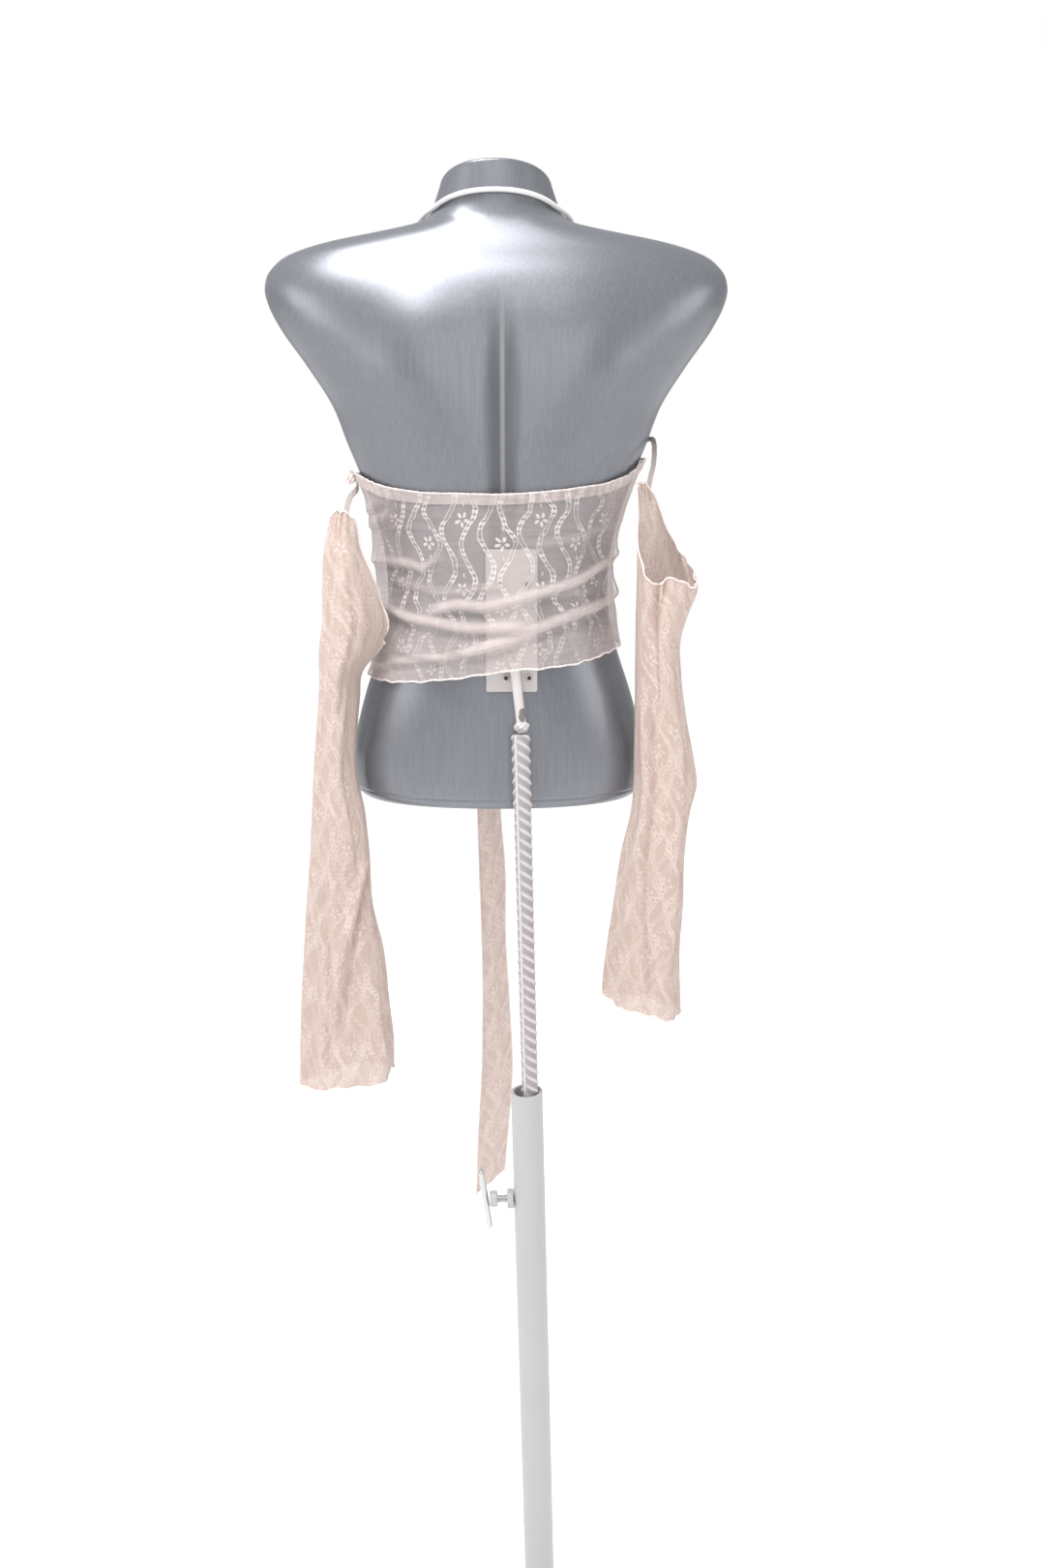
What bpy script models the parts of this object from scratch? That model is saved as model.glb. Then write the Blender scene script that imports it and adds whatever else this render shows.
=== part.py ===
"""A lace halter blouse with separate sleeves, on a limbless dress form with a clamped stand.

Metres, +Z up. The origin is the centre of the base's underside. The wearer's back faces -Y.
Everything above the stand is worked out in the form's own frame, whose axis stands FORM_X, FORM_Y
from the origin, and is moved there at the end.
"""
import math

import bmesh
import bpy
import numpy as np
from mathutils import Matrix, Vector
from mathutils.bvhtree import BVHTree

# Gaps and walls
GAP = 0.0003
CLOTH = 0.0012
EASE = 0.0026

# The form's axis, seen from the middle of the base
FORM_X = -0.0458
FORM_Y = 0.0960

# Stand: a round steel base, a leaning tube with a rod in it, and a clamp screw
BASE_RADIUS = 0.175
BASE_HEIGHT = 0.008
LEAN = math.radians(1.45)
TUBE_RADIUS = 0.015
TUBE_WALL = 0.003
TUBE_TOP = 0.747
ROD_RADIUS = 0.0086
ROD_BOTTOM = 0.400
ROD_TOP = 1.087
ROD_SHIFT = TUBE_RADIUS - TUBE_WALL - ROD_RADIUS - GAP
CLAMP_HEIGHT = 0.635
NUT_RADIUS = 0.0092
NUT_LENGTH = 0.0060
SCREW_RADIUS = 0.0037
SCREW_SHANK = 0.0095
HEAD_RADIUS = 0.0075
HEAD_LENGTH = 0.0074
BAR_RADIUS = 0.0030
BAR_LENGTH = 0.062
BAR_TILT = math.radians(6.0)

# Bracket on the form's back
PLATE_X = 0.0135
PLATE_WIDTH = 0.045
PLATE_THICK = 0.004
PLATE_LOW = 1.123
PLATE_HIGH = 1.246
PIPE_RADIUS = 0.0043
PIPE_LOW = ROD_TOP + 0.0008
PIPE_HIGH = 1.150
PIPE_LEAN = math.radians(6.7)
PIPE_ASIDE = 0.0015
SCREW_HEAD_RADIUS = 0.0034
SCREW_HEAD_HEIGHT = 0.0020
PLATE_SCREWS = [  # x, z
    (0.0039, 1.2173),
    (0.0263, 1.2173),
    (0.0086, 1.1355),
    (0.0289, 1.1355),
]

# The form, a row for each level: height, half width, depth to the front, depth to the back,
# and the power of its rounded outline, 2 for an ellipse and more for a fuller one
FORM_COLUMNS = ("z", "half_width", "front", "back", "power")
FORM_LEVELS = [
    (1.0150, 0.1290, 0.0860, 0.0790, 2.20),
    (1.0200, 0.1345, 0.0900, 0.0815, 2.20),
    (1.0330, 0.1385, 0.0940, 0.0835, 2.20),
    (1.0500, 0.1395, 0.0960, 0.0840, 2.20),
    (1.0800, 0.1340, 0.0960, 0.0838, 2.20),
    (1.1130, 0.1250, 0.0930, 0.0820, 2.20),
    (1.1480, 0.1130, 0.0865, 0.0790, 2.20),
    (1.1830, 0.1040, 0.0800, 0.0768, 2.20),
    (1.2170, 0.1020, 0.0780, 0.0765, 2.20),
    (1.2500, 0.1055, 0.0820, 0.0785, 2.20),
    (1.2850, 0.1150, 0.0930, 0.0825, 2.20),
    (1.3100, 0.1240, 0.1010, 0.0860, 2.20),
    (1.3370, 0.1350, 0.1050, 0.0890, 2.20),
    (1.3710, 0.1480, 0.1000, 0.0900, 2.30),
    (1.4040, 0.1690, 0.0880, 0.0880, 2.50),
    (1.4370, 0.1920, 0.0720, 0.0830, 2.70),
    (1.4530, 0.2000, 0.0620, 0.0785, 2.80),
    (1.4690, 0.2030, 0.0530, 0.0730, 2.80),
    (1.4830, 0.1970, 0.0470, 0.0670, 2.80),
    (1.4950, 0.1800, 0.0430, 0.0620, 2.70),
    (1.5040, 0.1500, 0.0420, 0.0580, 2.50),
    (1.5110, 0.1120, 0.0425, 0.0550, 2.35),
    (1.5180, 0.0780, 0.0440, 0.0525, 2.20),
    (1.5260, 0.0610, 0.0450, 0.0510, 2.20),
    (1.5380, 0.0540, 0.0450, 0.0500, 2.20),
    (1.5520, 0.0490, 0.0440, 0.0490, 2.20),
]
NECK_SLOPE = 0.26
NECK_EDGE = 0.0035
BUST_HEIGHT = 1.335
BUST_SPREAD = 0.036
BUST_X = 0.062
BUST_WIDTH = 0.036
BUST_RISE = 0.014

# How far the back panel stands off the form where it spans the bracket
BRIDGE_HALF_FLAT = 0.034
BRIDGE_HALF_FOOT = 0.080
BRIDGE_COLUMNS = ("z", "rise")
BRIDGE_LEVELS = [
    (1.110, 0.0145),
    (1.150, 0.0145),
    (1.175, 0.0130),
    (1.205, 0.0122),
    (1.246, 0.0098),
    (1.275, 0.0040),
    (1.300, 0.0000),
    (1.340, 0.0000),
]

# Edges of the panels. across runs from -1 at the left side seam to 1 at the right one
EDGE_COLUMNS = ("across", "hem", "top")
BACK_EDGES = [
    (-1.00, 1.1310, 1.3120),
    (-0.88, 1.1290, 1.3030),
    (-0.60, 1.1300, 1.2944),
    (-0.25, 1.1365, 1.2922),
    (0.05, 1.1425, 1.2915),
    (0.33, 1.1450, 1.2935),
    (0.60, 1.1478, 1.2976),
    (0.83, 1.1520, 1.3042),
    (0.95, 1.1560, 1.3140),
    (1.00, 1.1575, 1.3250),
]
FRONT_EDGES = [
    (-1.00, 1.1310, 1.3120),
    (-0.88, 1.1330, 1.3300),
    (-0.62, 1.1370, 1.3760),
    (-0.46, 1.1400, 1.3980),
    (-0.36, 1.1415, 1.4000),
    (0.00, 1.1440, 1.3880),
    (0.36, 1.1470, 1.4000),
    (0.46, 1.1485, 1.3980),
    (0.62, 1.1510, 1.3800),
    (0.88, 1.1560, 1.3400),
    (1.00, 1.1575, 1.3250),
]
BAND_WIDTH = 0.012
BAND_CLOTH = 0.0010

# The largest folds of the back, a row for each: a bowed roll from one point to the other
FOLD_COLUMNS = ("x0", "z0", "x1", "z1", "bow", "rise", "half_width")
BACK_FOLDS = [
    (-0.106, 1.203, 0.024, 1.181, -0.011, 0.0046, 0.0075),
    (-0.022, 1.158, 0.109, 1.211, -0.006, 0.0044, 0.0075),
    (-0.053, 1.193, 0.102, 1.239, -0.009, 0.0048, 0.0080),
    (-0.105, 1.236, -0.053, 1.232, -0.004, 0.0036, 0.0070),
    (-0.116, 1.272, -0.092, 1.286, 0.000, 0.0030, 0.0060),
]
FRONT_FOLDS = [
    (-0.098, 1.228, 0.020, 1.215, -0.012, 0.0042, 0.0080),
    (-0.020, 1.202, 0.100, 1.235, -0.009, 0.0042, 0.0080),
    (-0.060, 1.345, -0.050, 1.260, 0.000, 0.0030, 0.0080),
    (0.058, 1.350, 0.052, 1.270, 0.000, 0.0030, 0.0080),
]

# Sleeves, a row for each section: height, middle, half width, half depth
SLEEVE_COLUMNS = ("z", "x", "half_width", "half_depth")
LEFT_SLEEVE = [
    (0.730, -0.1455, 0.0425, 0.0230),
    (0.774, -0.1440, 0.0420, 0.0225),
    (0.814, -0.1446, 0.0391, 0.0215),
    (0.873, -0.1450, 0.0345, 0.0205),
    (0.912, -0.1478, 0.0292, 0.0195),
    (0.968, -0.1464, 0.0257, 0.0175),
    (1.008, -0.1468, 0.0229, 0.0155),
    (1.042, -0.1488, 0.0190, 0.0140),
    (1.079, -0.1469, 0.0176, 0.0135),
    (1.114, -0.1437, 0.0176, 0.0135),
    (1.138, -0.1415, 0.0185, 0.0150),
    (1.160, -0.1330, 0.0265, 0.0180),
    (1.180, -0.1275, 0.0288, 0.0200),
    (1.213, -0.1290, 0.0256, 0.0200),
    (1.245, -0.1325, 0.0200, 0.0180),
    (1.276, -0.1320, 0.0160, 0.0150),
]
RIGHT_SLEEVE = [
    (0.800, 0.1405, 0.0345, 0.0200),
    (0.834, 0.1389, 0.0343, 0.0200),
    (0.873, 0.1399, 0.0322, 0.0195),
    (0.912, 0.1431, 0.0306, 0.0190),
    (0.968, 0.1463, 0.0275, 0.0175),
    (1.006, 0.1517, 0.0256, 0.0165),
    (1.033, 0.1555, 0.0272, 0.0160),
    (1.061, 0.1529, 0.0253, 0.0155),
    (1.096, 0.1489, 0.0220, 0.0150),
    (1.132, 0.1458, 0.0197, 0.0145),
    (1.167, 0.1449, 0.0190, 0.0155),
    (1.190, 0.1480, 0.0222, 0.0180),
    (1.210, 0.1511, 0.0249, 0.0205),
    (1.235, 0.1483, 0.0222, 0.0205),
    (1.262, 0.1420, 0.0165, 0.0180),
    (1.300, 0.1355, 0.0120, 0.0135),
]
SLEEVE_Y = -0.055
SLEEVE_SIDES = 22
SLEEVE_ROWS = 21
MOUTH_COLUMNS = ("angle", "z")
LEFT_MOUTH = [
    (-180.0, 1.276),
    (-120.0, 1.275),
    (-70.0, 1.272),
    (-42.0, 1.257),
    (-25.0, 1.215),
    (-8.0, 1.172),
    (12.0, 1.160),
    (35.0, 1.178),
    (60.0, 1.225),
    (90.0, 1.262),
    (125.0, 1.274),
    (180.0, 1.276),
]
RIGHT_MOUTH = [
    (-180.0, 1.2960),
    (-165.0, 1.2640),
    (-148.0, 1.2330),
    (-128.0, 1.2175),
    (-90.0, 1.2215),
    (-45.0, 1.2140),
    (-10.0, 1.2180),
    (25.0, 1.2410),
    (50.0, 1.2600),
    (75.0, 1.2880),
    (100.0, 1.3010),
    (140.0, 1.3020),
    (180.0, 1.2960),
]
CUFF_COLUMNS = ("hem", "hem_drop", "low_angle")
LEFT_CUFF = (0.748, 0.014, 190.0)
RIGHT_CUFF = (0.824, 0.018, 350.0)
FLUTE_COLUMNS = ("count", "depth", "turn", "twist")
LEFT_FLUTES = [(3, 0.075, 0.4, 4.0), (5, 0.055, 1.6, -6.0)]
RIGHT_FLUTES = [(3, 0.070, 2.1, -5.0), (5, 0.055, 0.3, 5.0)]
LEFT_SHAPE = (LEFT_SLEEVE, LEFT_MOUTH, LEFT_CUFF, LEFT_FLUTES)
RIGHT_SHAPE = (RIGHT_SLEEVE, RIGHT_MOUTH, RIGHT_CUFF, RIGHT_FLUTES)

# Straps: the angles and shares at which they leave the panel, the free bends between, each with its
# wide direction, and the angle at which they land on the sleeve, with the clear space there
STRAP_WIDTH = 0.0050
STRAP_END_WIDTH = 0.0042
STRAP_CLOTH = 0.0012
LEFT_STRAP_ANGLES = (-176.5, -176.5)
LEFT_STRAP_SHARES = (0.985, 0.945)
LEFT_STRAP_WIDE = (0.0, 1.0, 0.0)
LEFT_STRAP_BENDS = [((-0.1325, -0.0230, 1.2900), (1.0, 0.2, 0.0))]
LEFT_STRAP_LANDS = (100.0, 0.0014)
RIGHT_STRAP_ANGLES = (34.0, 26.0)
RIGHT_STRAP_SHARES = (0.970, 0.975)
RIGHT_STRAP_WIDE = (0.34, 0.0, 0.94)
RIGHT_STRAP_BENDS = [
    ((0.1390, 0.0180, 1.3430), (0.36, 0.10, 0.93)),
    ((0.1415, -0.0100, 1.3390), (0.9, 0.2, 0.4)),
    ((0.1400, -0.0270, 1.3200), (1.0, 0.1, 0.0)),
]
RIGHT_STRAP_LANDS = (95.0, 0.0021)

# Tie and neck cord
TIE_COLUMNS = ("z", "x", "width", "off_form", "turn")
TIE_LEVELS = [
    (1.164, 0.0000, 0.0250, 0.0043, 0.0),
    (1.135, -0.0040, 0.0270, 0.0050, 0.0),
    (1.080, -0.0100, 0.0250, 0.0050, 4.0),
    (1.020, -0.0125, 0.0240, 0.0050, 8.0),
    (0.965, -0.0122, 0.0245, 0.0050, 12.0),
    (0.900, -0.0095, 0.0280, 0.0050, 4.0),
    (0.834, -0.0088, 0.0270, 0.0050, -8.0),
    (0.743, -0.0061, 0.0305, 0.0050, -4.0),
    (0.673, -0.0053, 0.0345, 0.0050, 6.0),
    (0.600, -0.0095, 0.0345, 0.0050, 8.0),
    (0.545, -0.0135, 0.0330, 0.0050, 4.0),
]
TIE_Y = 0.103
TIE_LEAVES_FORM = 1.050
TIE_PANEL_LOW = 1.075
TIE_PANEL_HIGH = 1.135
TIE_SLANT = 0.030
CORD_RADIUS = 0.0020
CORD_ROUTE = [  # x, y, z, from the left front corner round the neck to the right one
    (-0.0700, 0.095, 1.4030),
    (-0.0705, 0.085, 1.4300),
    (-0.0700, 0.070, 1.4600),
    (-0.0690, 0.050, 1.4900),
    (-0.0690, 0.041, 1.5100),
    (-0.0690, 0.023, 1.5220),
    (-0.0680, 0.004, 1.5240),
    (-0.0580, -0.020, 1.5270),
    (-0.0460, -0.036, 1.5330),
    (-0.0270, -0.048, 1.5370),
    (0.0000, -0.053, 1.5385),
    (0.0270, -0.048, 1.5370),
    (0.0450, -0.036, 1.5330),
    (0.0560, -0.020, 1.5265),
    (0.0660, 0.004, 1.5240),
    (0.0690, 0.023, 1.5220),
    (0.0690, 0.041, 1.5100),
    (0.0690, 0.050, 1.4900),
    (0.0700, 0.070, 1.4600),
    (0.0705, 0.085, 1.4300),
    (0.0700, 0.095, 1.4030),
]

# Colours and surfaces: red, green, blue, roughness, metallic
LOOKS = {
    "form": (0.44, 0.45, 0.47, 0.35, 0.2),
    "steel_paint": (0.80, 0.79, 0.76, 0.45, 0.0),
    "rod_paint": (0.78, 0.76, 0.75, 0.50, 0.0),
    "lace": (0.86, 0.76, 0.72, 0.85, 0.0),
    "elastic": (0.93, 0.91, 0.89, 0.80, 0.0),
    "zinc": (0.62, 0.62, 0.60, 0.35, 0.9),
}


def clear_scene():
    """Remove whatever the file holds."""
    for thing in list(bpy.data.objects):
        bpy.data.objects.remove(thing, do_unlink=True)


def new_collection(name, shown=True):
    """A collection in the scene."""
    group = bpy.data.collections.new(name)
    bpy.context.scene.collection.children.link(group)
    group.hide_render = not shown
    return group


def make_material(name):
    """A Principled material from the LOOKS table."""
    red, green, blue, roughness, metallic = LOOKS[name]
    material = bpy.data.materials.new(name)
    material.use_nodes = True
    shader = material.node_tree.nodes["Principled BSDF"]
    shader.inputs["Base Color"].default_value = (red, green, blue, 1.0)
    shader.inputs["Roughness"].default_value = roughness
    shader.inputs["Metallic"].default_value = metallic
    material.diffuse_color = (red, green, blue, 1.0)
    return material


def place(name, mesh, look, on_form=False):
    """Put a mesh in the scene as one named part."""
    part = bpy.data.objects.new(name, mesh)
    mesh.materials.clear()
    mesh.materials.append(materials[look])
    parts.objects.link(part)
    if on_form:
        part.location = (FORM_X, FORM_Y, 0.0)
    return part


def column(table, columns, name):
    """One named column of a table as an array."""
    return np.array([row[columns.index(name)] for row in table])


def smooth(at, knots, values):
    """A smooth curve through the table's points: cubic pieces with the slopes of the neighbours."""
    knots = np.asarray(knots, dtype=float)
    values = np.asarray(values, dtype=float)
    at = np.clip(at, knots[0], knots[-1])
    slopes = np.gradient(values, knots)
    low = np.clip(np.searchsorted(knots, at) - 1, 0, len(knots) - 2)
    span = knots[low + 1] - knots[low]
    t = (at - knots[low]) / span
    start = (2 * t**3 - 3 * t**2 + 1) * values[low] + (t**3 - 2 * t**2 + t) * span * slopes[low]
    end = (3 * t**2 - 2 * t**3) * values[low + 1] + (t**3 - t**2) * span * slopes[low + 1]
    return start + end


def form_size(z, name):
    """Half width, front or back depth of the form at a height."""
    return smooth(z, column(FORM_LEVELS, FORM_COLUMNS, "z"), column(FORM_LEVELS, FORM_COLUMNS, name))


def form_ring(z, angle, out=0.0):
    """Points of the form's outline at heights z, moved out by out. Angle 0 is +X, -90 degrees the back."""
    power = 2.0 / form_size(z, "power")
    cos = np.cos(angle)
    sin = np.sin(angle)
    depth = np.where(sin > 0, form_size(z, "front"), form_size(z, "back"))
    half = form_size(z, "half_width")
    x = half * np.sign(cos) * np.abs(cos) ** power
    y = depth * np.sign(sin) * np.abs(sin) ** power
    level = np.exp(-(((z - BUST_HEIGHT) / BUST_SPREAD) ** 2))
    side = np.exp(-(((np.abs(x) - BUST_X) / BUST_WIDTH) ** 2))
    y = y + np.where(sin > 0, BUST_RISE * level * side * np.clip(sin, 0, 1), 0.0)
    normal_x = np.sign(cos) * np.abs(cos) ** (2.0 - power) / half
    normal_y = np.sign(sin) * np.abs(sin) ** (2.0 - power) / depth
    size = np.hypot(normal_x, normal_y)
    return x + out * normal_x / size, y + out * normal_y / size


def loft_mesh(name, rings):
    """A closed body through rings of points with flat ends."""
    body = bmesh.new()
    rows = [[body.verts.new(point) for point in ring] for ring in rings]
    for lower, upper in zip(rows, rows[1:]):
        for k in range(len(lower)):
            after = (k + 1) % len(lower)
            body.faces.new((lower[k], lower[after], upper[after], upper[k]))
    body.faces.new(list(reversed(rows[0])))
    body.faces.new(rows[-1])
    bmesh.ops.recalc_face_normals(body, faces=body.faces)
    mesh = bpy.data.meshes.new(name)
    body.to_mesh(mesh)
    body.free()
    mesh.shade_smooth()
    return mesh


def grid_mesh(name, points, closed=False):
    """An open surface from an array of rows by columns by three."""
    rows, columns, _ = points.shape
    surface = bmesh.new()
    verts = [[surface.verts.new(points[i, j]) for j in range(columns)] for i in range(rows)]
    last = columns if closed else columns - 1
    for i in range(rows - 1):
        for j in range(last):
            after = (j + 1) % columns
            surface.faces.new((verts[i][j], verts[i][after], verts[i + 1][after], verts[i + 1][j]))
    mesh = bpy.data.meshes.new(name)
    surface.to_mesh(mesh)
    surface.free()
    mesh.shade_smooth()
    return mesh


def thicken(part, thickness):
    """Give an open surface a wall that grows along its normals."""
    wall = part.modifiers.new("wall", "SOLIDIFY")
    wall.thickness = thickness
    wall.offset = 1.0
    wall.use_even_offset = True


def cylinder_mesh(name, radius, length, sides=24, middle=(0, 0, 0), turn=None):
    """A cylinder along its own Z axis, turned and moved in its mesh."""
    body = bmesh.new()
    bmesh.ops.create_cone(
        body, cap_ends=True, segments=sides, radius1=radius, radius2=radius, depth=length
    )
    if turn is not None:
        bmesh.ops.transform(body, matrix=turn, verts=body.verts)
    bmesh.ops.translate(body, vec=Vector(middle), verts=body.verts)
    mesh = bpy.data.meshes.new(name)
    body.to_mesh(mesh)
    body.free()
    mesh.shade_smooth()
    mesh.set_sharp_from_angle(angle=math.radians(40))
    return mesh


def cut(part, cutter):
    """Cut one body out of another."""
    hole = part.modifiers.new("cut", "BOOLEAN")
    hole.operation = "DIFFERENCE"
    hole.object = cutter


def make_cutter(name, mesh, matrix):
    """A hidden body that only cuts."""
    cutter = bpy.data.objects.new(name, mesh)
    cutter.matrix_world = matrix
    cutter.hide_render = True
    cutter.display_type = "WIRE"
    cutters.objects.link(cutter)
    return cutter


def build_form():
    """The limbless form: a closed body with round shoulder caps and a slanted neck top."""
    heights = column(FORM_LEVELS, FORM_COLUMNS, "z")
    angles = np.linspace(0, 2 * math.pi, 40, endpoint=False)
    rings = []
    for z in heights[:-1]:
        x, y = form_ring(np.full(len(angles), z), angles)
        rings.append(np.column_stack((x, y, np.full(len(angles), z))))
    x, y = form_ring(np.full(len(angles), heights[-1]), angles)
    rings.append(np.column_stack((x, y, heights[-1] - NECK_EDGE - NECK_SLOPE * y)))
    x, y = form_ring(np.full(len(angles), heights[-1]), angles, -NECK_EDGE)
    rings.append(np.column_stack((x, y, heights[-1] - NECK_SLOPE * y)))
    return place("form_torso", loft_mesh("form_torso", rings), "form", on_form=True)


def fold_rise(x, z, folds):
    """Height of all folds at points: a soft ridge along each bowed line, faded at both ends."""
    total = np.zeros_like(x)
    for x0, z0, x1, z1, bow, rise, half_width in folds:
        along_x, along_z = x1 - x0, z1 - z0
        length = math.hypot(along_x, along_z)
        t = ((x - x0) * along_x + (z - z0) * along_z) / length**2
        across = ((z - z0) * along_x - (x - x0) * along_z) / length
        inside = np.clip(t, 0.0, 1.0)
        line = 4.0 * bow * inside * (1.0 - inside)
        fade = np.clip(np.minimum(t + 0.12, 1.12 - t) / 0.30, 0.0, 1.0)
        fade = fade * fade * (3.0 - 2.0 * fade)
        total = total + rise * fade * np.exp(-(((across - line) / half_width) ** 2))
    return total


def bridge_rise(x, z):
    """How far the cloth is held off the form by the bracket under it."""
    heights = column(BRIDGE_LEVELS, BRIDGE_COLUMNS, "z")
    rise = smooth(z, heights, column(BRIDGE_LEVELS, BRIDGE_COLUMNS, "rise"))
    fall = (BRIDGE_HALF_FOOT - np.abs(x - PLATE_X)) / (BRIDGE_HALF_FOOT - BRIDGE_HALF_FLAT)
    window = np.clip(fall, 0.0, 1.0)
    return rise * window * window * (3.0 - 2.0 * window)


def panel_points(angle, share, edges, folds, back, lift=0.0):
    """Points of a body panel. share runs from 0 at the hem to 1 at the top edge."""
    across = np.sign(np.cos(angle)) * np.abs(np.cos(angle)) ** (2.0 / form_size(BUST_HEIGHT, "power"))
    knots = column(edges, EDGE_COLUMNS, "across")
    hem = smooth(across, knots, column(edges, EDGE_COLUMNS, "hem"))
    top = smooth(across, knots, column(edges, EDGE_COLUMNS, "top"))
    z = hem + (top - hem) * share
    x, y = form_ring(z, angle)
    out = EASE + lift + fold_rise(x, z, folds)
    if back:
        out = out + bridge_rise(x, z)
    x, y = form_ring(z, angle, out)
    return np.stack((x, y, z), axis=-1)


def panel_angles(back, steps):
    """Angles from side seam to side seam, counted so that the surface faces out."""
    seam = math.radians(0.35)
    start, end = (-math.pi + seam, -seam) if back else (seam, math.pi - seam)
    return np.linspace(start, end, steps)


def build_panels():
    """Front and back panels and the doubled band on the back's top edge."""
    angle, share = np.meshgrid(panel_angles(True, 44), np.linspace(0, 1, 25))
    points = panel_points(angle, share, BACK_EDGES, BACK_FOLDS, True)
    back = place("back_panel", grid_mesh("back_panel", points), "lace", on_form=True)
    thicken(back, CLOTH)
    angle, share = np.meshgrid(panel_angles(False, 32), np.linspace(0, 1, 16))
    points = panel_points(angle, share, FRONT_EDGES, FRONT_FOLDS, False)
    front = place("front_panel", grid_mesh("front_panel", points), "lace", on_form=True)
    thicken(front, CLOTH)
    lowest = 1.0 - BAND_WIDTH / 0.155
    angle, share = np.meshgrid(panel_angles(True, 44), np.linspace(lowest, 0.998, 3))
    points = panel_points(angle, share, BACK_EDGES, BACK_FOLDS, True, CLOTH + GAP)
    band = place("back_top_band", grid_mesh("back_top_band", points), "lace", on_form=True)
    thicken(band, BAND_CLOTH)


def sleeve_points(shape, angle, share, out=0.0):
    """Points of a sleeve: an oval tube between a cut-out mouth and a slanted hem, with long flutes."""
    sections, mouth, cuff, flutes = shape
    hem, hem_drop, low_angle = cuff
    turned = np.degrees(np.arctan2(np.sin(angle), np.cos(angle)))
    rim = smooth(turned, column(mouth, MOUTH_COLUMNS, "angle"), column(mouth, MOUTH_COLUMNS, "z"))
    foot = hem - 0.5 * hem_drop * (1.0 + np.cos(angle - math.radians(low_angle)))
    z = foot + (rim - foot) * share
    heights = column(sections, SLEEVE_COLUMNS, "z")
    middle = smooth(z, heights, column(sections, SLEEVE_COLUMNS, "x"))
    half_width = smooth(z, heights, column(sections, SLEEVE_COLUMNS, "half_width"))
    half_depth = smooth(z, heights, column(sections, SLEEVE_COLUMNS, "half_depth"))
    ripple = np.zeros_like(z)
    for count, depth, turn, twist in flutes:
        ripple = ripple + depth * np.cos(count * angle + turn + twist * z)
    swell = 1.0 + ripple
    x = middle + (half_width * swell + out) * np.cos(angle)
    y = SLEEVE_Y + (half_depth * (1.0 + 1.6 * ripple) + out) * np.sin(angle)
    return np.stack((x, y, z), axis=-1)


def build_sleeve(name, shape):
    """One hollow sleeve."""
    turns = np.linspace(0, 2 * math.pi, SLEEVE_SIDES, endpoint=False)
    angle, share = np.meshgrid(turns, np.linspace(0, 1, SLEEVE_ROWS))
    points = sleeve_points(shape, angle, share)
    sleeve = place(name, grid_mesh(name, points, closed=True), "lace", on_form=True)
    thicken(sleeve, CLOTH)


def ribbon_mesh(name, middles, wides, widths, thickness):
    """A flat band through middles, wide along wides, as a closed body."""
    middles = np.asarray(middles)
    wides = np.asarray(wides)
    along = np.gradient(middles, axis=0)
    along = along / np.linalg.norm(along, axis=1)[:, None]
    wides = wides - along * (wides * along).sum(axis=1)[:, None]
    wides = wides / np.linalg.norm(wides, axis=1)[:, None]
    out = np.cross(wides, along)
    half = 0.5 * np.asarray(widths)[:, None] * wides
    deep = 0.5 * thickness * out
    rings = np.stack((middles - half - deep, middles + half - deep, middles + half + deep,
                      middles - half + deep), axis=1)
    mesh = loft_mesh(name, rings)
    mesh.set_sharp_from_angle(angle=math.radians(40))
    return mesh


def strap_path(panel, angles, shares, wide, bends, shape, lands, steps=14):
    """A strap's middle line and its wide directions, from the panel round its bends to the sleeve."""
    edges, folds, back = panel
    off = CLOTH + 3 * GAP + 0.5 * STRAP_CLOTH + (BAND_CLOTH + GAP if back else 0.0)
    upper = panel_points(np.radians(angles), np.array(shares), edges, folds, back, off)
    landing = np.full(2, math.radians(lands[0]))
    away = CLOTH + lands[1] + 0.5 * STRAP_CLOTH
    lower = sleeve_points(shape, landing, np.array([0.992, 0.974]), away)
    knots = np.concatenate((upper, [spot for spot, _ in bends], lower))
    lengths = np.concatenate(([0.0], np.cumsum(np.linalg.norm(np.diff(knots, axis=0), axis=1))))
    on_sleeve = (math.sin(landing[0]), -math.cos(landing[0]), 0.0)
    wides = np.array([wide, wide] + [turned for _, turned in bends] + [on_sleeve, on_sleeve])
    t = np.linspace(0, lengths[-1], steps)
    path = np.stack([smooth(t, lengths, knots[:, k]) for k in range(3)], axis=1)
    return path, np.stack([np.interp(t, lengths, wides[:, k]) for k in range(3)], axis=1)


def build_strap(name, path, wides):
    """One narrow strap."""
    widths = np.linspace(STRAP_WIDTH, STRAP_END_WIDTH, len(path))
    mesh = ribbon_mesh(name, path, wides, widths, STRAP_CLOTH)
    place(name, mesh, "elastic", on_form=True)


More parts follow.
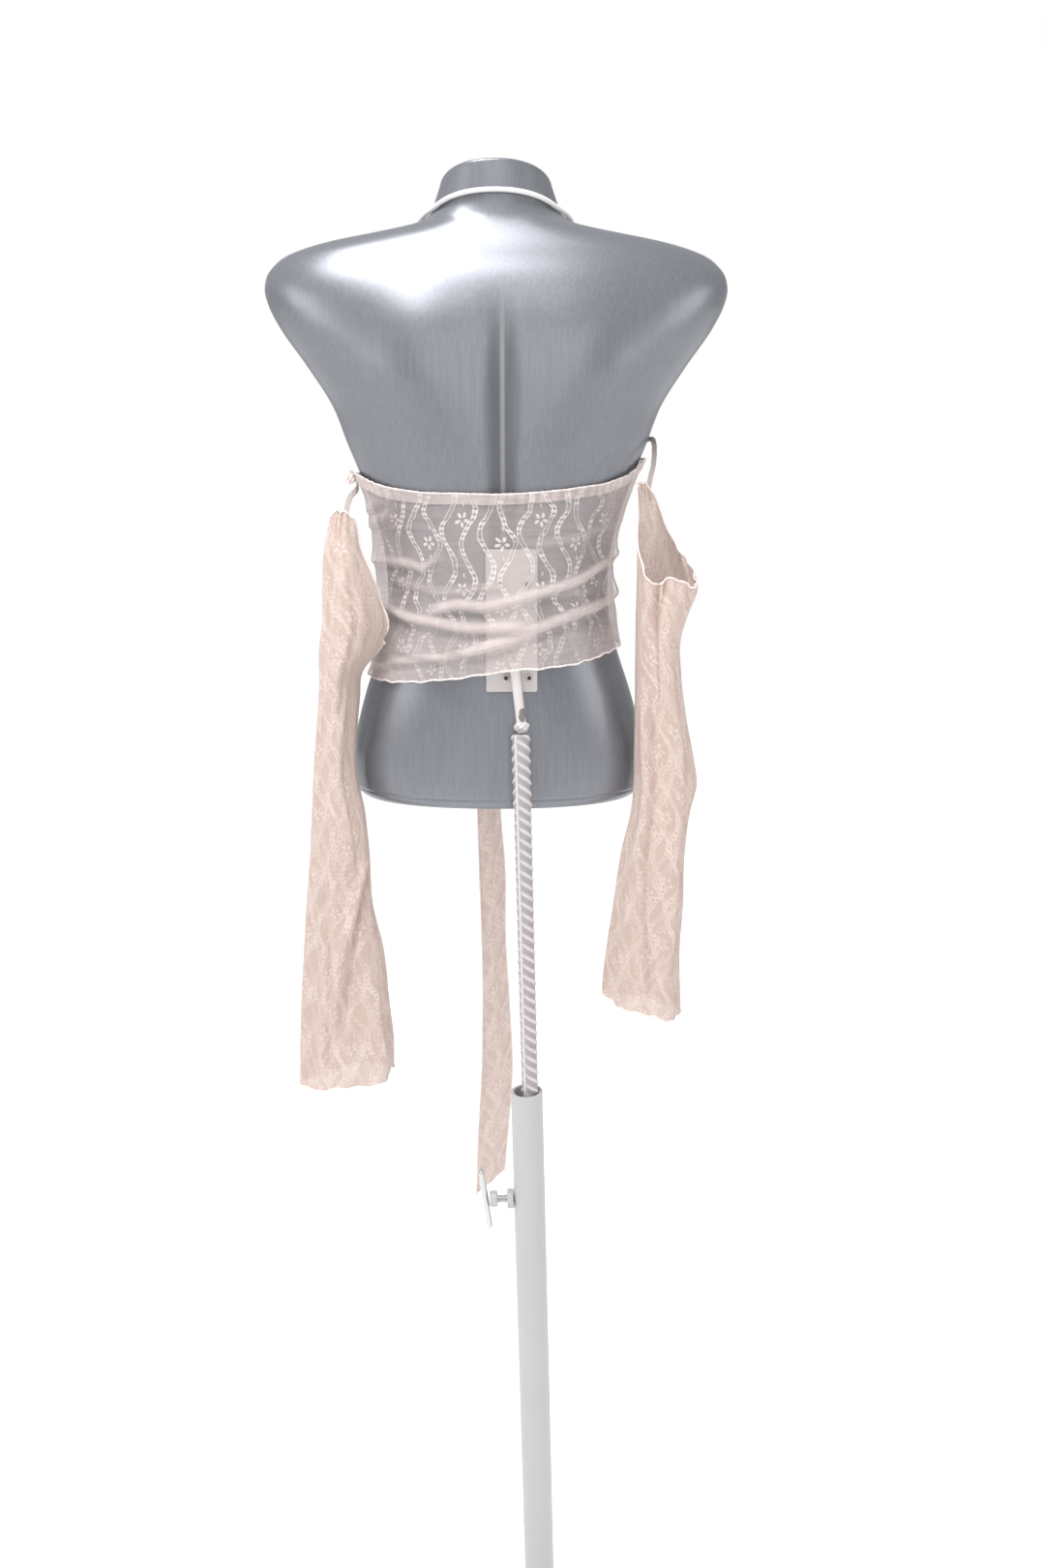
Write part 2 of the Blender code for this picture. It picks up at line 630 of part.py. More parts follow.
def build_tie():
    """The front tie: a flat band with a skewed point, hung over the belly of the form."""
    z = np.linspace(TIE_LEVELS[-1][0], TIE_LEVELS[0][0], 24)
    rising = TIE_LEVELS[::-1]
    values = {name: smooth(z, column(rising, TIE_COLUMNS, "z"), column(rising, TIE_COLUMNS, name))
              for name in TIE_COLUMNS}
    x, width, turn = values["x"], values["width"], np.radians(values["turn"])
    _, front = form_ring(np.maximum(z, TIE_LEAVES_FORM), np.full(len(z), math.pi / 2))
    on_panel = np.clip((z - TIE_PANEL_LOW) / (TIE_PANEL_HIGH - TIE_PANEL_LOW), 0.0, 1.0)
    y = (front + values["off_form"]) * on_panel + TIE_Y * (1.0 - on_panel)
    middles = np.column_stack((x, y, z))
    wides = np.column_stack((np.cos(turn), np.sin(turn), np.zeros(len(z))))
    half = 0.5 * width[:, None] * wides
    left = middles - half
    right = middles + half
    left[0, 2] -= TIE_SLANT
    points = np.stack((right, 0.5 * (left + right), left), axis=1)
    tie = place("front_tie", grid_mesh("front_tie", points), "lace", on_form=True)
    thicken(tie, CLOTH)
    return tie


def build_neck_cord(form):
    """The round elastic, laid on the form along its route."""
    surface = BVHTree.FromObject(form, bpy.context.evaluated_depsgraph_get())
    route = np.array(CORD_ROUTE)
    lengths = np.concatenate(([0.0], np.cumsum(np.linalg.norm(np.diff(route, axis=0), axis=1))))
    at = np.linspace(0, lengths[-1], 60)
    points = np.stack([smooth(at, lengths, route[:, k]) for k in range(3)], axis=1)
    curve = bpy.data.curves.new("neck_cord", "CURVE")
    curve.dimensions = "3D"
    curve.bevel_depth = CORD_RADIUS
    curve.bevel_resolution = 2
    curve.use_fill_caps = True
    spline = curve.splines.new("POLY")
    spline.points.add(len(points) - 1)
    for spot, point in zip(spline.points, points):
        near, normal, _, _ = surface.find_nearest(Vector(point))
        resting = near + normal * (CORD_RADIUS + 0.0009)
        spot.co = (*resting, 1.0)
    cord = bpy.data.objects.new("neck_cord", curve)
    cord.location = (FORM_X, FORM_Y, 0.0)
    curve.materials.append(materials["elastic"])
    parts.objects.link(cord)


def pole_matrix(height, shift=0.0):
    """The leaning pole's own frame at a height along it, moved sideways by shift."""
    return Matrix.Rotation(-LEAN, 4, "Y") @ Matrix.Translation((shift, 0.0, height))


def build_stand():
    """Base, tube, rod and clamp."""
    base = place("stand_base", cylinder_mesh("stand_base", BASE_RADIUS, BASE_HEIGHT, 48), "steel_paint")
    base.location = (0.0, 0.0, 0.5 * BASE_HEIGHT)
    edge = base.modifiers.new("edge", "BEVEL")
    edge.width = 0.0015
    edge.segments = 1
    edge.limit_method = "ANGLE"
    foot = BASE_HEIGHT + GAP + TUBE_RADIUS * math.sin(LEAN)
    length = TUBE_TOP - foot
    tube = place("stand_tube", cylinder_mesh("stand_tube", TUBE_RADIUS, length, 28), "steel_paint")
    tube.matrix_world = pole_matrix(foot + 0.5 * length)
    bore = cylinder_mesh("tube_bore", TUBE_RADIUS - TUBE_WALL, length + 0.02, 28)
    cut(tube, make_cutter("tube_bore", bore, pole_matrix(foot + 0.5 * length)))
    across = Matrix.Rotation(math.radians(90), 4, "Y")
    clearance = cylinder_mesh("screw_hole", SCREW_RADIUS + 0.0004, 0.02, 16)
    cut(tube, make_cutter("screw_hole", clearance, pole_matrix(CLAMP_HEIGHT, -TUBE_RADIUS) @ across))
    rod_length = ROD_TOP - ROD_BOTTOM
    rod = place("ribbed_rod", cylinder_mesh("ribbed_rod", ROD_RADIUS, rod_length, 20), "rod_paint")
    rod.matrix_world = pole_matrix(ROD_BOTTOM + 0.5 * rod_length, ROD_SHIFT)
    nut_middle = -TUBE_RADIUS - GAP - 0.5 * NUT_LENGTH
    nut = place("clamp_nut", cylinder_mesh("clamp_nut", NUT_RADIUS, NUT_LENGTH, 6), "steel_paint")
    nut.matrix_world = pole_matrix(CLAMP_HEIGHT, nut_middle) @ across
    thread = cylinder_mesh("nut_bore", SCREW_RADIUS + 0.0002, 0.02, 16)
    cut(nut, make_cutter("nut_bore", thread, pole_matrix(CLAMP_HEIGHT, nut_middle) @ across))
    build_clamp()


def build_clamp():
    """The clamp's screw with its round head, and the bar across it. Both turn on the screw's axis."""
    tip = ROD_SHIFT - ROD_RADIUS - GAP
    head_face = -TUBE_RADIUS - GAP - NUT_LENGTH - SCREW_SHANK
    turns = np.linspace(0, 2 * math.pi, 18, endpoint=False)
    radii = [HEAD_RADIUS, HEAD_RADIUS, SCREW_RADIUS, SCREW_RADIUS]
    places = [head_face - HEAD_LENGTH, head_face, head_face, tip]
    rings = []
    for radius, x in zip(radii, places):
        rings.append([(x, radius * math.cos(turn), radius * math.sin(turn)) for turn in turns])
    mesh = loft_mesh("clamp_screw", rings)
    mesh.set_sharp_from_angle(angle=math.radians(40))
    screw = place("clamp_screw", mesh, "zinc")
    screw.matrix_world = pole_matrix(CLAMP_HEIGHT)
    slope = HEAD_RADIUS * math.tan(BAR_TILT) + BAR_RADIUS / math.cos(BAR_TILT)
    bar_x = head_face - HEAD_LENGTH - GAP - slope
    bar = place("clamp_bar", cylinder_mesh("clamp_bar", BAR_RADIUS, BAR_LENGTH, 14), "zinc")
    bar.matrix_world = pole_matrix(CLAMP_HEIGHT, bar_x) @ Matrix.Rotation(-BAR_TILT, 4, "Y")


def plate_face(z):
    """Distance of the plate's inner face behind the form's axis: a straight line over the hollow."""
    low = form_size(np.array([PLATE_LOW]), "back")[0]
    high = form_size(np.array([PLATE_HIGH]), "back")[0]
    share = (z - PLATE_LOW) / (PLATE_HIGH - PLATE_LOW)
    return low + (high - low) * share + 2 * GAP


def build_bracket():
    """The steel plate on the form's back, its screws, and the short pipe welded down to the rod."""
    half = 0.5 * PLATE_WIDTH
    rings = []
    for z in (PLATE_LOW, PLATE_HIGH):
        inner = -plate_face(z)
        outer = inner - PLATE_THICK
        rings.append([(PLATE_X - half, outer, z), (PLATE_X + half, outer, z),
                      (PLATE_X + half, inner, z), (PLATE_X - half, inner, z)])
    mesh = loft_mesh("bracket_plate", rings)
    mesh.shade_flat()
    place("bracket_plate", mesh, "steel_paint", on_form=True)
    slant = math.atan2(plate_face(PLATE_LOW) - plate_face(PLATE_HIGH), PLATE_HIGH - PLATE_LOW)
    facing = Matrix.Rotation(math.radians(90) - slant, 4, "X")
    for count, (x, z) in enumerate(PLATE_SCREWS, start=1):
        name = f"plate_screw_{count}"
        y = -plate_face(z) - PLATE_THICK - GAP - 0.5 * SCREW_HEAD_HEIGHT
        head = cylinder_mesh(name, SCREW_HEAD_RADIUS, SCREW_HEAD_HEIGHT, 16, (x, y, z), facing)
        place(name, head, "zinc", on_form=True)
    rise = PIPE_HIGH - PIPE_LOW
    foot_x = -FORM_X - ROD_TOP * math.tan(LEAN) + ROD_SHIFT + PIPE_ASIDE
    pipe_y = -plate_face(PLATE_LOW) - PLATE_THICK - 2 * GAP - PIPE_RADIUS
    middle = (foot_x - 0.5 * rise * math.tan(PIPE_LEAN), pipe_y, PIPE_LOW + 0.5 * rise)
    turn = Matrix.Rotation(-PIPE_LEAN, 4, "Y")
    pipe_length = rise / math.cos(PIPE_LEAN)
    pipe = cylinder_mesh("bracket_pipe", PIPE_RADIUS, pipe_length, 16, middle, turn)
    place("bracket_pipe", pipe, "steel_paint", on_form=True)


clear_scene()
parts = new_collection("lace_blouse_on_form")
cutters = new_collection("cutters", shown=False)
materials = {name: make_material(name) for name in LOOKS}
build_stand()
build_bracket()
torso = build_form()
build_panels()
build_sleeve("left_sleeve", LEFT_SHAPE)
build_sleeve("right_sleeve", RIGHT_SHAPE)
left = strap_path((BACK_EDGES, BACK_FOLDS, True), LEFT_STRAP_ANGLES, LEFT_STRAP_SHARES, LEFT_STRAP_WIDE,
                  LEFT_STRAP_BENDS, LEFT_SHAPE, LEFT_STRAP_LANDS)
build_strap("left_strap", *left)
right = strap_path((FRONT_EDGES, FRONT_FOLDS, False), RIGHT_STRAP_ANGLES, RIGHT_STRAP_SHARES,
                   RIGHT_STRAP_WIDE, RIGHT_STRAP_BENDS, RIGHT_SHAPE, RIGHT_STRAP_LANDS)
build_strap("right_strap", *right)
build_tie()
build_neck_cord(torso)
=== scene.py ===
# %% [markdown]
# # A lace blouse on a dress form
# The object is a halter blouse of sheer pink lace, open at the back, with two separate sleeves and a
# long front tie. It hangs on a grey moulded form, and the form stands on a clamped steel pole.
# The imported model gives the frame: every piece below is made in the same metres and the same place.

# %% Load the frame
import math

import bpy
import numpy as np
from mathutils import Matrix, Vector
from mathutils.bvhtree import BVHTree


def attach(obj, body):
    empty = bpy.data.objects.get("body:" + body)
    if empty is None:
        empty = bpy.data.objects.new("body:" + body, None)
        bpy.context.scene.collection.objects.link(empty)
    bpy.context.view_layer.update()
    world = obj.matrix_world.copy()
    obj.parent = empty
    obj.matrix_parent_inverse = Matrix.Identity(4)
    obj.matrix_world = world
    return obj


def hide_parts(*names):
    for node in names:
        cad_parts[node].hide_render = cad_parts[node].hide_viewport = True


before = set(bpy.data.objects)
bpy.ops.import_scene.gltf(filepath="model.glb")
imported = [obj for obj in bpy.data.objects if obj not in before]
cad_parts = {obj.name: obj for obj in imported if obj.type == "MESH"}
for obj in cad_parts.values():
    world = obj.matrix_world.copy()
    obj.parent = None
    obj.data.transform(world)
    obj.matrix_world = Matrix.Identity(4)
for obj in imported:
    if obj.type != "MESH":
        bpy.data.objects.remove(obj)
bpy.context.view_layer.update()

# %% [markdown]
# ## Camera
# The photographer stood behind the form, a little over a metre away, and held the camera level with
# the waist and tipped down. A focal length of 1217 pixels on a 1620 pixel frame is a 27 mm lens on
# Blender's 36 mm sensor. FORM is the form's upright axis seen from the middle of the base.

# %% Camera
FORM = np.array([-0.0458, 0.0960, 0.0])
CAMERA_FROM_FORM = (0.023, -1.114, 1.270)
CAMERA_TILT = 12.6
FOCAL_PIXELS = 1217
FRAME_PIXELS = 1620
SENSOR = 36.0

camera_data = bpy.data.cameras.new("camera")
camera = bpy.data.objects.new("camera", camera_data)
camera.location = Vector(FORM) + Vector(CAMERA_FROM_FORM)
camera.rotation_euler = (math.radians(90 - CAMERA_TILT), 0, 0)
camera_data.sensor_width = SENSOR
camera_data.lens = SENSOR * FOCAL_PIXELS / FRAME_PIXELS
bpy.context.scene.collection.objects.link(camera)
bpy.context.scene.camera = camera
print("lens", round(camera_data.lens, 2), "mm, at", [round(c, 3) for c in camera.location])

# %% [markdown]
# ## Formulas as materials
# A procedural pattern is a formula of the surface's coordinates. Wiring Math nodes by hand hides that
# formula, so this small class lets a socket take part in plain arithmetic: each operator adds a node.

# %% A socket that does arithmetic


class Field:
    """A value that varies over a surface. a + b, a * b and so on each add one Math node."""

    def __init__(self, tree, socket):
        self.tree = tree
        self.socket = socket

    def math(self, operation, *others):
        node = self.tree.nodes.new("ShaderNodeMath")
        node.operation = operation
        for slot, value in zip(node.inputs, (self, *others)):
            if isinstance(value, Field):
                self.tree.links.new(value.socket, slot)
            else:
                slot.default_value = value
        return Field(self.tree, node.outputs[0])

    def __add__(self, other):
        return self.math("ADD", other)

    def __sub__(self, other):
        return self.math("SUBTRACT", other)

    def __mul__(self, other):
        return self.math("MULTIPLY", other)

    def __truediv__(self, other):
        return self.math("DIVIDE", other)

    def __pow__(self, power):
        return self.math("POWER", power)

    def __abs__(self):
        return self.math("ABSOLUTE")

    def over(self, other):
        """The higher of two fields."""
        return self.math("MAXIMUM", other)

    def saw(self):
        """-0.5 to 0.5 over each whole step."""
        return self.math("FRACT") - 0.5

    def rise(self, low, high):
        """0 below low, 1 above high, and a smooth step between them. low above high falls instead."""
        node = self.tree.nodes.new("ShaderNodeMapRange")
        node.interpolation_type = "SMOOTHSTEP"
        for name, value in (("From Min", min(low, high)), ("From Max", max(low, high)),
                            ("To Min", float(low > high)), ("To Max", float(low < high))):
            node.inputs[name].default_value = value
        self.tree.links.new(self.socket, node.inputs["Value"])
        return Field(self.tree, node.outputs["Result"])


print("formulas ready")

# %% [markdown]
# ## A material's frame
# Every finish here is one Principled shader. Values that are the same all over go straight on its
# sockets. What varies is a Field: a blend of two colours, a roughness, an alpha or a bump height.

# %% Material helpers


class Finish:
    """A material being built: its tree, its shader, and short ways to read coordinates and noise."""

    def __init__(self, name, roughness, **constants):
        self.material = bpy.data.materials.new(name)
        self.material.use_nodes = True
        self.tree = self.material.node_tree
        self.shader = self.tree.nodes["Principled BSDF"]
        self.shader.inputs["Roughness"].default_value = roughness
        for socket, value in constants.items():
            self.shader.inputs[socket.replace("_", " ")].default_value = value

    def coordinates(self, kind, stretch=(1, 1, 1)):
        """Coordinates times a factor for each axis, as a vector socket."""
        source = self.tree.nodes.new("ShaderNodeTexCoord")
        mapping = self.tree.nodes.new("ShaderNodeMapping")
        mapping.inputs["Scale"].default_value = stretch
        self.tree.links.new(source.outputs[kind], mapping.inputs["Vector"])
        return mapping.outputs["Vector"]

    def parts(self, kind="Object"):
        """The three coordinates as fields."""
        node = self.tree.nodes.new("ShaderNodeSeparateXYZ")
        self.tree.links.new(self.coordinates(kind), node.inputs[0])
        return [Field(self.tree, output) for output in node.outputs]

    def noise(self, kind="Object", stretch=(1, 1, 1), scale=1.0, detail=3.0, roughness=0.5):
        """Soft noise from 0 to 1."""
        node = self.tree.nodes.new("ShaderNodeTexNoise")
        for name, value in (("Scale", scale), ("Detail", detail), ("Roughness", roughness)):
            node.inputs[name].default_value = value
        self.tree.links.new(self.coordinates(kind, stretch), node.inputs["Vector"])
        return Field(self.tree, node.outputs["Fac"])

    def attribute(self, name):
        """A value kept on the piece's own points."""
        node = self.tree.nodes.new("ShaderNodeAttribute")
        node.attribute_name = name
        return Field(self.tree, node.outputs["Fac"])

    def mix(self, share, first, second):
        """A colour that goes from first to second with a field. Either may be a colour socket."""
        node = self.tree.nodes.new("ShaderNodeMix")
        node.data_type = "RGBA"
        self.tree.links.new(share.socket, node.inputs[0])
        for slot, colour in ((node.inputs[6], first), (node.inputs[7], second)):
            if isinstance(colour, tuple):
                slot.default_value = (*colour, 1.0)
            else:
                self.tree.links.new(colour, slot)
        return node.outputs[2]

    def set(self, socket, value):
        """Drive one of the shader's inputs."""
        source = value.socket if isinstance(value, Field) else value
        self.tree.links.new(source, self.shader.inputs[socket])

    def bump(self, height, distance, strength=1.0):
        """Relief from a height field, distance metres deep."""
        node = self.tree.nodes.new("ShaderNodeBump")
        node.inputs["Strength"].default_value = strength
        node.inputs["Distance"].default_value = distance
        self.tree.links.new(height.socket, node.inputs["Height"])
        self.tree.links.new(node.outputs["Normal"], self.shader.inputs["Normal"])


print("material helpers ready")

# %% [markdown]
# ## The lace
# The cloth is a fine net with the motif knitted in. Pairs of wavy vines run up it, each a ladder of
# two threads set with pairs of small leaves, and five-leaved flowers sit between them. Every second
# column is dropped: the flowers by a third of a repeat, one vine not at all and the other by half of
# it. The pattern reads the cloth's own UV map, in metres, so that it bends with every fold. Alpha
# makes the net sheer. Where the cloth is bunched, an attribute named gathered closes the net, because
# there are more layers there.

# %% Lace measurements
COLUMN = 0.0338
REPEAT = 0.0590
DROP = 0.0200
VINES = ((-0.0125, -0.0065, 0.0110, 0.0), (0.0052, 0.0064, -0.0080, 0.5 * REPEAT))
LADDER_HALF = 0.0019
THREAD = (0.0007, 0.0002)
LEAF_PITCH = 0.0046
LEAF = {"aside": 0.0013, "wide": 0.0012, "tall": 0.0019}
PETAL = {"out": 0.0040, "wide": 0.0014, "tall": 0.0025, "white": 0.78}
SPRIG = {"aside": 0.0022, "up": 0.0125, "wide": 0.0008, "tall": 0.0021, "white": 0.70}
STEM = {"aside": 0.0026, "thread": (0.0005, 0.0001), "white": 0.30}
UNEVEN = 0.0050
NET_PITCH = 0.00125
NET_THREAD = (0.28, 0.42)
print("lace repeat", COLUMN, "by", REPEAT, "m, vines", len(VINES), "to a column")

# %% Lace pattern


def in_column(u, v, middle, drop):
    """x from the nearest column's line and w up its repeat. Every second column is dropped."""
    column = ((u - middle) / COLUMN).math("FLOOR")
    x = ((u - middle) / COLUMN - column - 0.5) * COLUMN
    return x, v + (column / 2).math("FRACT") * (2 * drop)


def oval(across, along_it, wide, tall):
    """1 inside an ellipse round 0, 0 outside it, with a soft thread-wide border."""
    size = (across / wide) ** 2.0 + (along_it / tall) ** 2.0
    return size.rise(1.25, 0.75)


def vine(finish, u, v, middle, sway, phase, drop):
    """A ladder of two threads whose middle sways as a cosine, with pairs of leaves on it."""
    x, w = in_column(u, v, middle, drop)
    away = x - ((w + phase) * (2 * math.pi / REPEAT)).math("COSINE") * sway
    beside = abs(away)
    thread = abs(beside - LADDER_HALF).rise(*THREAD)
    step = (w / LEAF_PITCH).saw() * LEAF_PITCH
    leaf = oval(beside - LEAF["aside"], step, LEAF["wide"], LEAF["tall"])
    leafy = finish.noise("UV", (55, 45, 1), detail=1.0).rise(0.38, 0.56)
    return (thread * 0.70).over(leaf * (leafy * 0.44 + 0.38))


def flower(u, v):
    """Five leaf-shaped petals round an open middle. Each fifth of a turn is folded on to one petal."""
    x, w = in_column(u, v, 0.0, DROP)
    y = (w / REPEAT + 0.5).saw() * REPEAT
    radius = (x * x + y * y).math("SQRT")
    fifth = y.math("ARCTAN2", x) * (2.5 / math.pi) + 0.15
    angle = (fifth + 0.5).saw() * (0.4 * math.pi)
    petals = oval(radius * angle.math("SINE"), radius * angle.math("COSINE") - PETAL["out"],
                  PETAL["wide"], PETAL["tall"])
    sprig = oval(x - SPRIG["aside"], abs(y) - SPRIG["up"], SPRIG["wide"], SPRIG["tall"])
    stem = abs(abs(x) - STEM["aside"]).rise(*STEM["thread"]) * STEM["white"]
    return (petals * PETAL["white"]).over(sprig * SPRIG["white"]).over(stem)


def lace_fields(finish, sheer, layers):
    """The motif, the net and the alpha as formulas of u and v, in metres along the cloth.

    A slow noise pushes u and v about by a millimetre or two, as knitting is never quite even. Each
    layer adds the motif once more, shifted and fainter. The net is two families of slanting threads,
    with streaks where it is pulled.
    """
    u, v, _ = finish.parts("UV")
    pull = finish.noise("UV", (60, 60, 1), detail=1.0) - 0.5
    push = finish.noise("UV", (47, 52, 9), detail=1.0) - 0.5
    u, v = u + pull * UNEVEN, v + push * UNEVEN
    motif = flower(u, v)
    for layer in range(layers):
        under = flower(u + 0.019 * layer, v + 0.023 * layer)
        for row in VINES:
            under = under.over(vine(finish, u + 0.013 * layer, v + 0.027 * layer, *row))
        motif = motif.over(under * (1.0 - 0.22 * layer))
    first, second = ((u + v * 0.8) / NET_PITCH).saw(), ((u - v * 0.8) / NET_PITCH).saw()
    net = abs(first).over(abs(second)).rise(*NET_THREAD)
    streak = finish.noise("UV", (45, 700, 1), detail=3.0)
    bunched = finish.attribute("gathered")
    motif = motif * (bunched * -0.55 + 1)
    cover = net * 0.16 + streak * 0.34 + bunched * 0.45 + (sheer - 0.20)
    return motif, net, cover.over(motif * 0.92).math("MINIMUM", 0.97)


def make_lace(name, sheer, ground, motif_colour, relief=0.0005, layers=1):
    """A sheer lace. sheer is the share of light that the bare net holds back between its threads."""
    finish = Finish(name, 0.72, Sheen_Weight=0.25, Sheen_Roughness=0.45, Specular_IOR_Level=0.25)
    motif, net, alpha = lace_fields(finish, sheer, layers)
    blotch = finish.noise(scale=28.0)
    tinted = finish.mix(blotch, ground, tuple(0.94 * c for c in ground))
    finish.set("Base Color", finish.mix(motif, tinted, motif_colour))
    finish.set("Alpha", alpha)
    crumple = finish.noise("UV", (330, 260, 1), detail=2.0)
    finish.bump(motif * 0.8 + net * 0.25 + crumple * 0.8, relief, 0.6)
    return finish.material


body_lace = make_lace("body_lace", 0.27, (0.70, 0.60, 0.58), (0.84, 0.765, 0.745))
band_lace = make_lace("band_lace", 0.54, (0.70, 0.60, 0.58), (0.78, 0.69, 0.67))
sleeve_lace = make_lace("sleeve_lace", 0.90, (0.66, 0.505, 0.445), (0.83, 0.70, 0.635), 0.0014, 3)
print("laces ready")

# %% [markdown]
# ## Threads and elastic
# The raw edges are bound with fluffy overlock thread, and the neck cord is elastic in a woven cover.
# Both are nearly white. A fine slanting wave along the piece's own UV gives the wound threads.

# %% Thread and elastic


def make_thread(name, colour, pitch, slant):
    """Wound thread: stripes slanting round a tube, whose UV is metres along and turns round."""
    finish = Finish(name, 0.8, Sheen_Weight=0.4)
    along, around, _ = finish.parts("UV")
    stripe = ((along / pitch + around * slant) * (2 * math.pi)).math("SINE") * 0.5 + 0.5
    fuzz = finish.noise(scale=900.0)
    shade = tuple(0.86 * c for c in colour)
    finish.set("Base Color", finish.mix(stripe * 0.7 + fuzz * 0.3, shade, colour))
    finish.bump(stripe + fuzz * 0.4, 0.0003, 0.7)
    return finish.material


overlock = make_thread("overlock_thread", (0.93, 0.83, 0.79), 0.0016, 1.0)
elastic = make_thread("covered_elastic", (0.95, 0.93, 0.92), 0.0012, 2.0)
strap_finish = Finish("strap_weave", 0.8, Sheen_Weight=0.3)
rows_of_knit = strap_finish.noise("Object", (900, 900, 2600), detail=2.0)
strap_finish.set("Base Color", strap_finish.mix(rows_of_knit, (0.42, 0.355, 0.335), (0.60, 0.52, 0.50)))
strap_finish.bump(rows_of_knit, 0.0003, 0.6)
strap_weave = strap_finish.material
print("thread ready")

# %% [markdown]
# ## The form's plastic
# The form is moulded plastic sprayed silver-grey and wiped, which leaves fine upright streaks. Noise
# that is stretched along Z changes the colour, the roughness and a very shallow bump together. The
# hollow beside the spine is made duller, painted shade darkens its colour, and a painted highlight
# draws a light line along its middle.

# %% Form plastic
SPINE_X = 0.0062
SHADED_HOLLOW = {"aside": (0.0160, 0.0070), "foot": (1.14, 1.24), "top": (1.47, 1.40), "behind": (0.080, 0.040)}
form_finish = Finish("form_plastic", 0.34, Metallic=0.45, Specular_IOR_Level=0.6)
streaks = form_finish.noise("Object", (700, 700, 14), detail=3.0)
clouds = form_finish.noise(scale=9.0)
grey = form_finish.mix(streaks.rise(0.30, 0.72), (0.186, 0.194, 0.216), (0.223, 0.232, 0.257))
grey = form_finish.mix(clouds * 0.4, grey, (0.245, 0.254, 0.280))
x, y, z = form_finish.parts()
beside = abs(x - (FORM[0] + SPINE_X))
hollow = (beside.rise(*SHADED_HOLLOW["aside"]) * z.rise(*SHADED_HOLLOW["foot"]) * z.rise(*SHADED_HOLLOW["top"])
          * y.rise(*SHADED_HOLLOW["behind"]))
# Painted shade: the colour in the hollow beside the spine is mixed towards a near-black grey.
grey = form_finish.mix(hollow * 0.62, grey, (0.075, 0.077, 0.083))
# Painted highlight: a light grey line along the middle of the hollow.
grey = form_finish.mix(hollow * beside.rise(0.0028, 0.0008) * 0.75, grey, (0.300, 0.305, 0.320))
form_finish.set("Base Color", grey)
form_finish.set("Roughness", streaks * 0.08 + clouds * 0.05 + hollow * 0.16 + 0.25)
form_finish.bump(streaks, 0.0001, 0.18)
print("form plastic ready")

# %% [markdown]
# ## Painted and plated steel
# The stand is sprayed off-white. Paint wears to grey along sharp edges and collects dust in spots, so
# two noises of different size mix in. The rod carries the same paint over its rolled ribs, with painted
# shade in the hollows between them, and the screw heads have painted shade in their cross recess.

# %% Steel finishes


def make_paint(name, colour, chip, rough, chips_from, metallic=0.0, scale=60.0, valley_shade=None, bare=None):
    """Sprayed paint with clouds of dust and small worn spots where a noise is above chips_from.

    The valley colour is painted shade in the hollows, where the piece's attribute named crest is low. bare
    is a place where the paint is rubbed off: the noise is raised there by a bell of the distance.
    """
    finish = Finish(name, rough, Metallic=metallic)
    clouds = finish.noise(scale=14.0)
    spots = finish.noise(scale=scale, detail=6.0, roughness=0.65)
    base = finish.mix(clouds * 0.6, colour, tuple(0.86 * c for c in colour))
    if valley_shade:
        base = finish.mix(finish.attribute("crest"), valley_shade, base)
    if bare:
        x, y, z = finish.parts()
        far = ((x - bare[0]) ** 2.0 + (y - bare[1]) ** 2.0 + ((z - bare[2]) / 1.6) ** 2.0).math("SQRT")
        spots = spots + far.rise(0.0050, 0.0028) * 0.35
    worn = spots.rise(chips_from, chips_from + 0.05)
    finish.set("Base Color", finish.mix(worn, base, chip))
    finish.set("Roughness", clouds * 0.15 + worn * 0.15 + (rough - 0.08))
    finish.bump(finish.noise(scale=700.0) * 0.4 - worn, 0.0002, 0.4)
    return finish.material


tube_paint = make_paint("tube_paint", (0.51, 0.51, 0.51), (0.40, 0.38, 0.36), 0.42, 0.74)
# Painted shade: the rod's colour turns mauve-grey between its ribs, where the attribute crest is low.
rod_paint = make_paint("rod_paint", (0.70, 0.675, 0.67), (0.30, 0.27, 0.27), 0.5, 0.66, scale=90.0,
                       valley_shade=(0.37, 0.335, 0.345))
plate_paint = make_paint("plate_paint", (0.56, 0.53, 0.515), (0.40, 0.35, 0.30), 0.45, 0.72)
zinc = make_paint("zinc_plate", (0.62, 0.62, 0.61), (0.36, 0.35, 0.34), 0.34, 0.68, metallic=0.85)
# Painted shade: the screw heads are near-black in and round their cross recess, where crest is low.
screw_steel = make_paint("screw_steel", (0.56, 0.53, 0.51), (0.40, 0.35, 0.30), 0.45, 0.70,
                         valley_shade=(0.055, 0.050, 0.048))
pipe_paint = make_paint("pipe_paint", (0.70, 0.655, 0.65), (0.20, 0.19, 0.19), 0.45, 0.66, scale=150.0,
                        bare=(-0.0224, 0.0014, 1.1040))
weld_paint = make_paint("weld_paint", (0.66, 0.625, 0.62), (0.34, 0.31, 0.30), 0.5, 0.62, scale=150.0)
print("steel finishes ready")

# %% [markdown]
# ## Surfaces from arrays
# Every new piece is a surface worked out with numpy: an array of rows by columns of points. One
# function turns such an array into a mesh. Columns may join round a tube, and ends may be closed with
# a fan to their middle point. Most pieces here go round an axis, so the turn and the step from polar
# to plain coordinates have their own short functions.

# %% Mesh from an array


def joined(*parts):
    """Coordinates side by side on a new last axis."""
    return np.stack(np.broadcast_arrays(*parts), axis=-1)


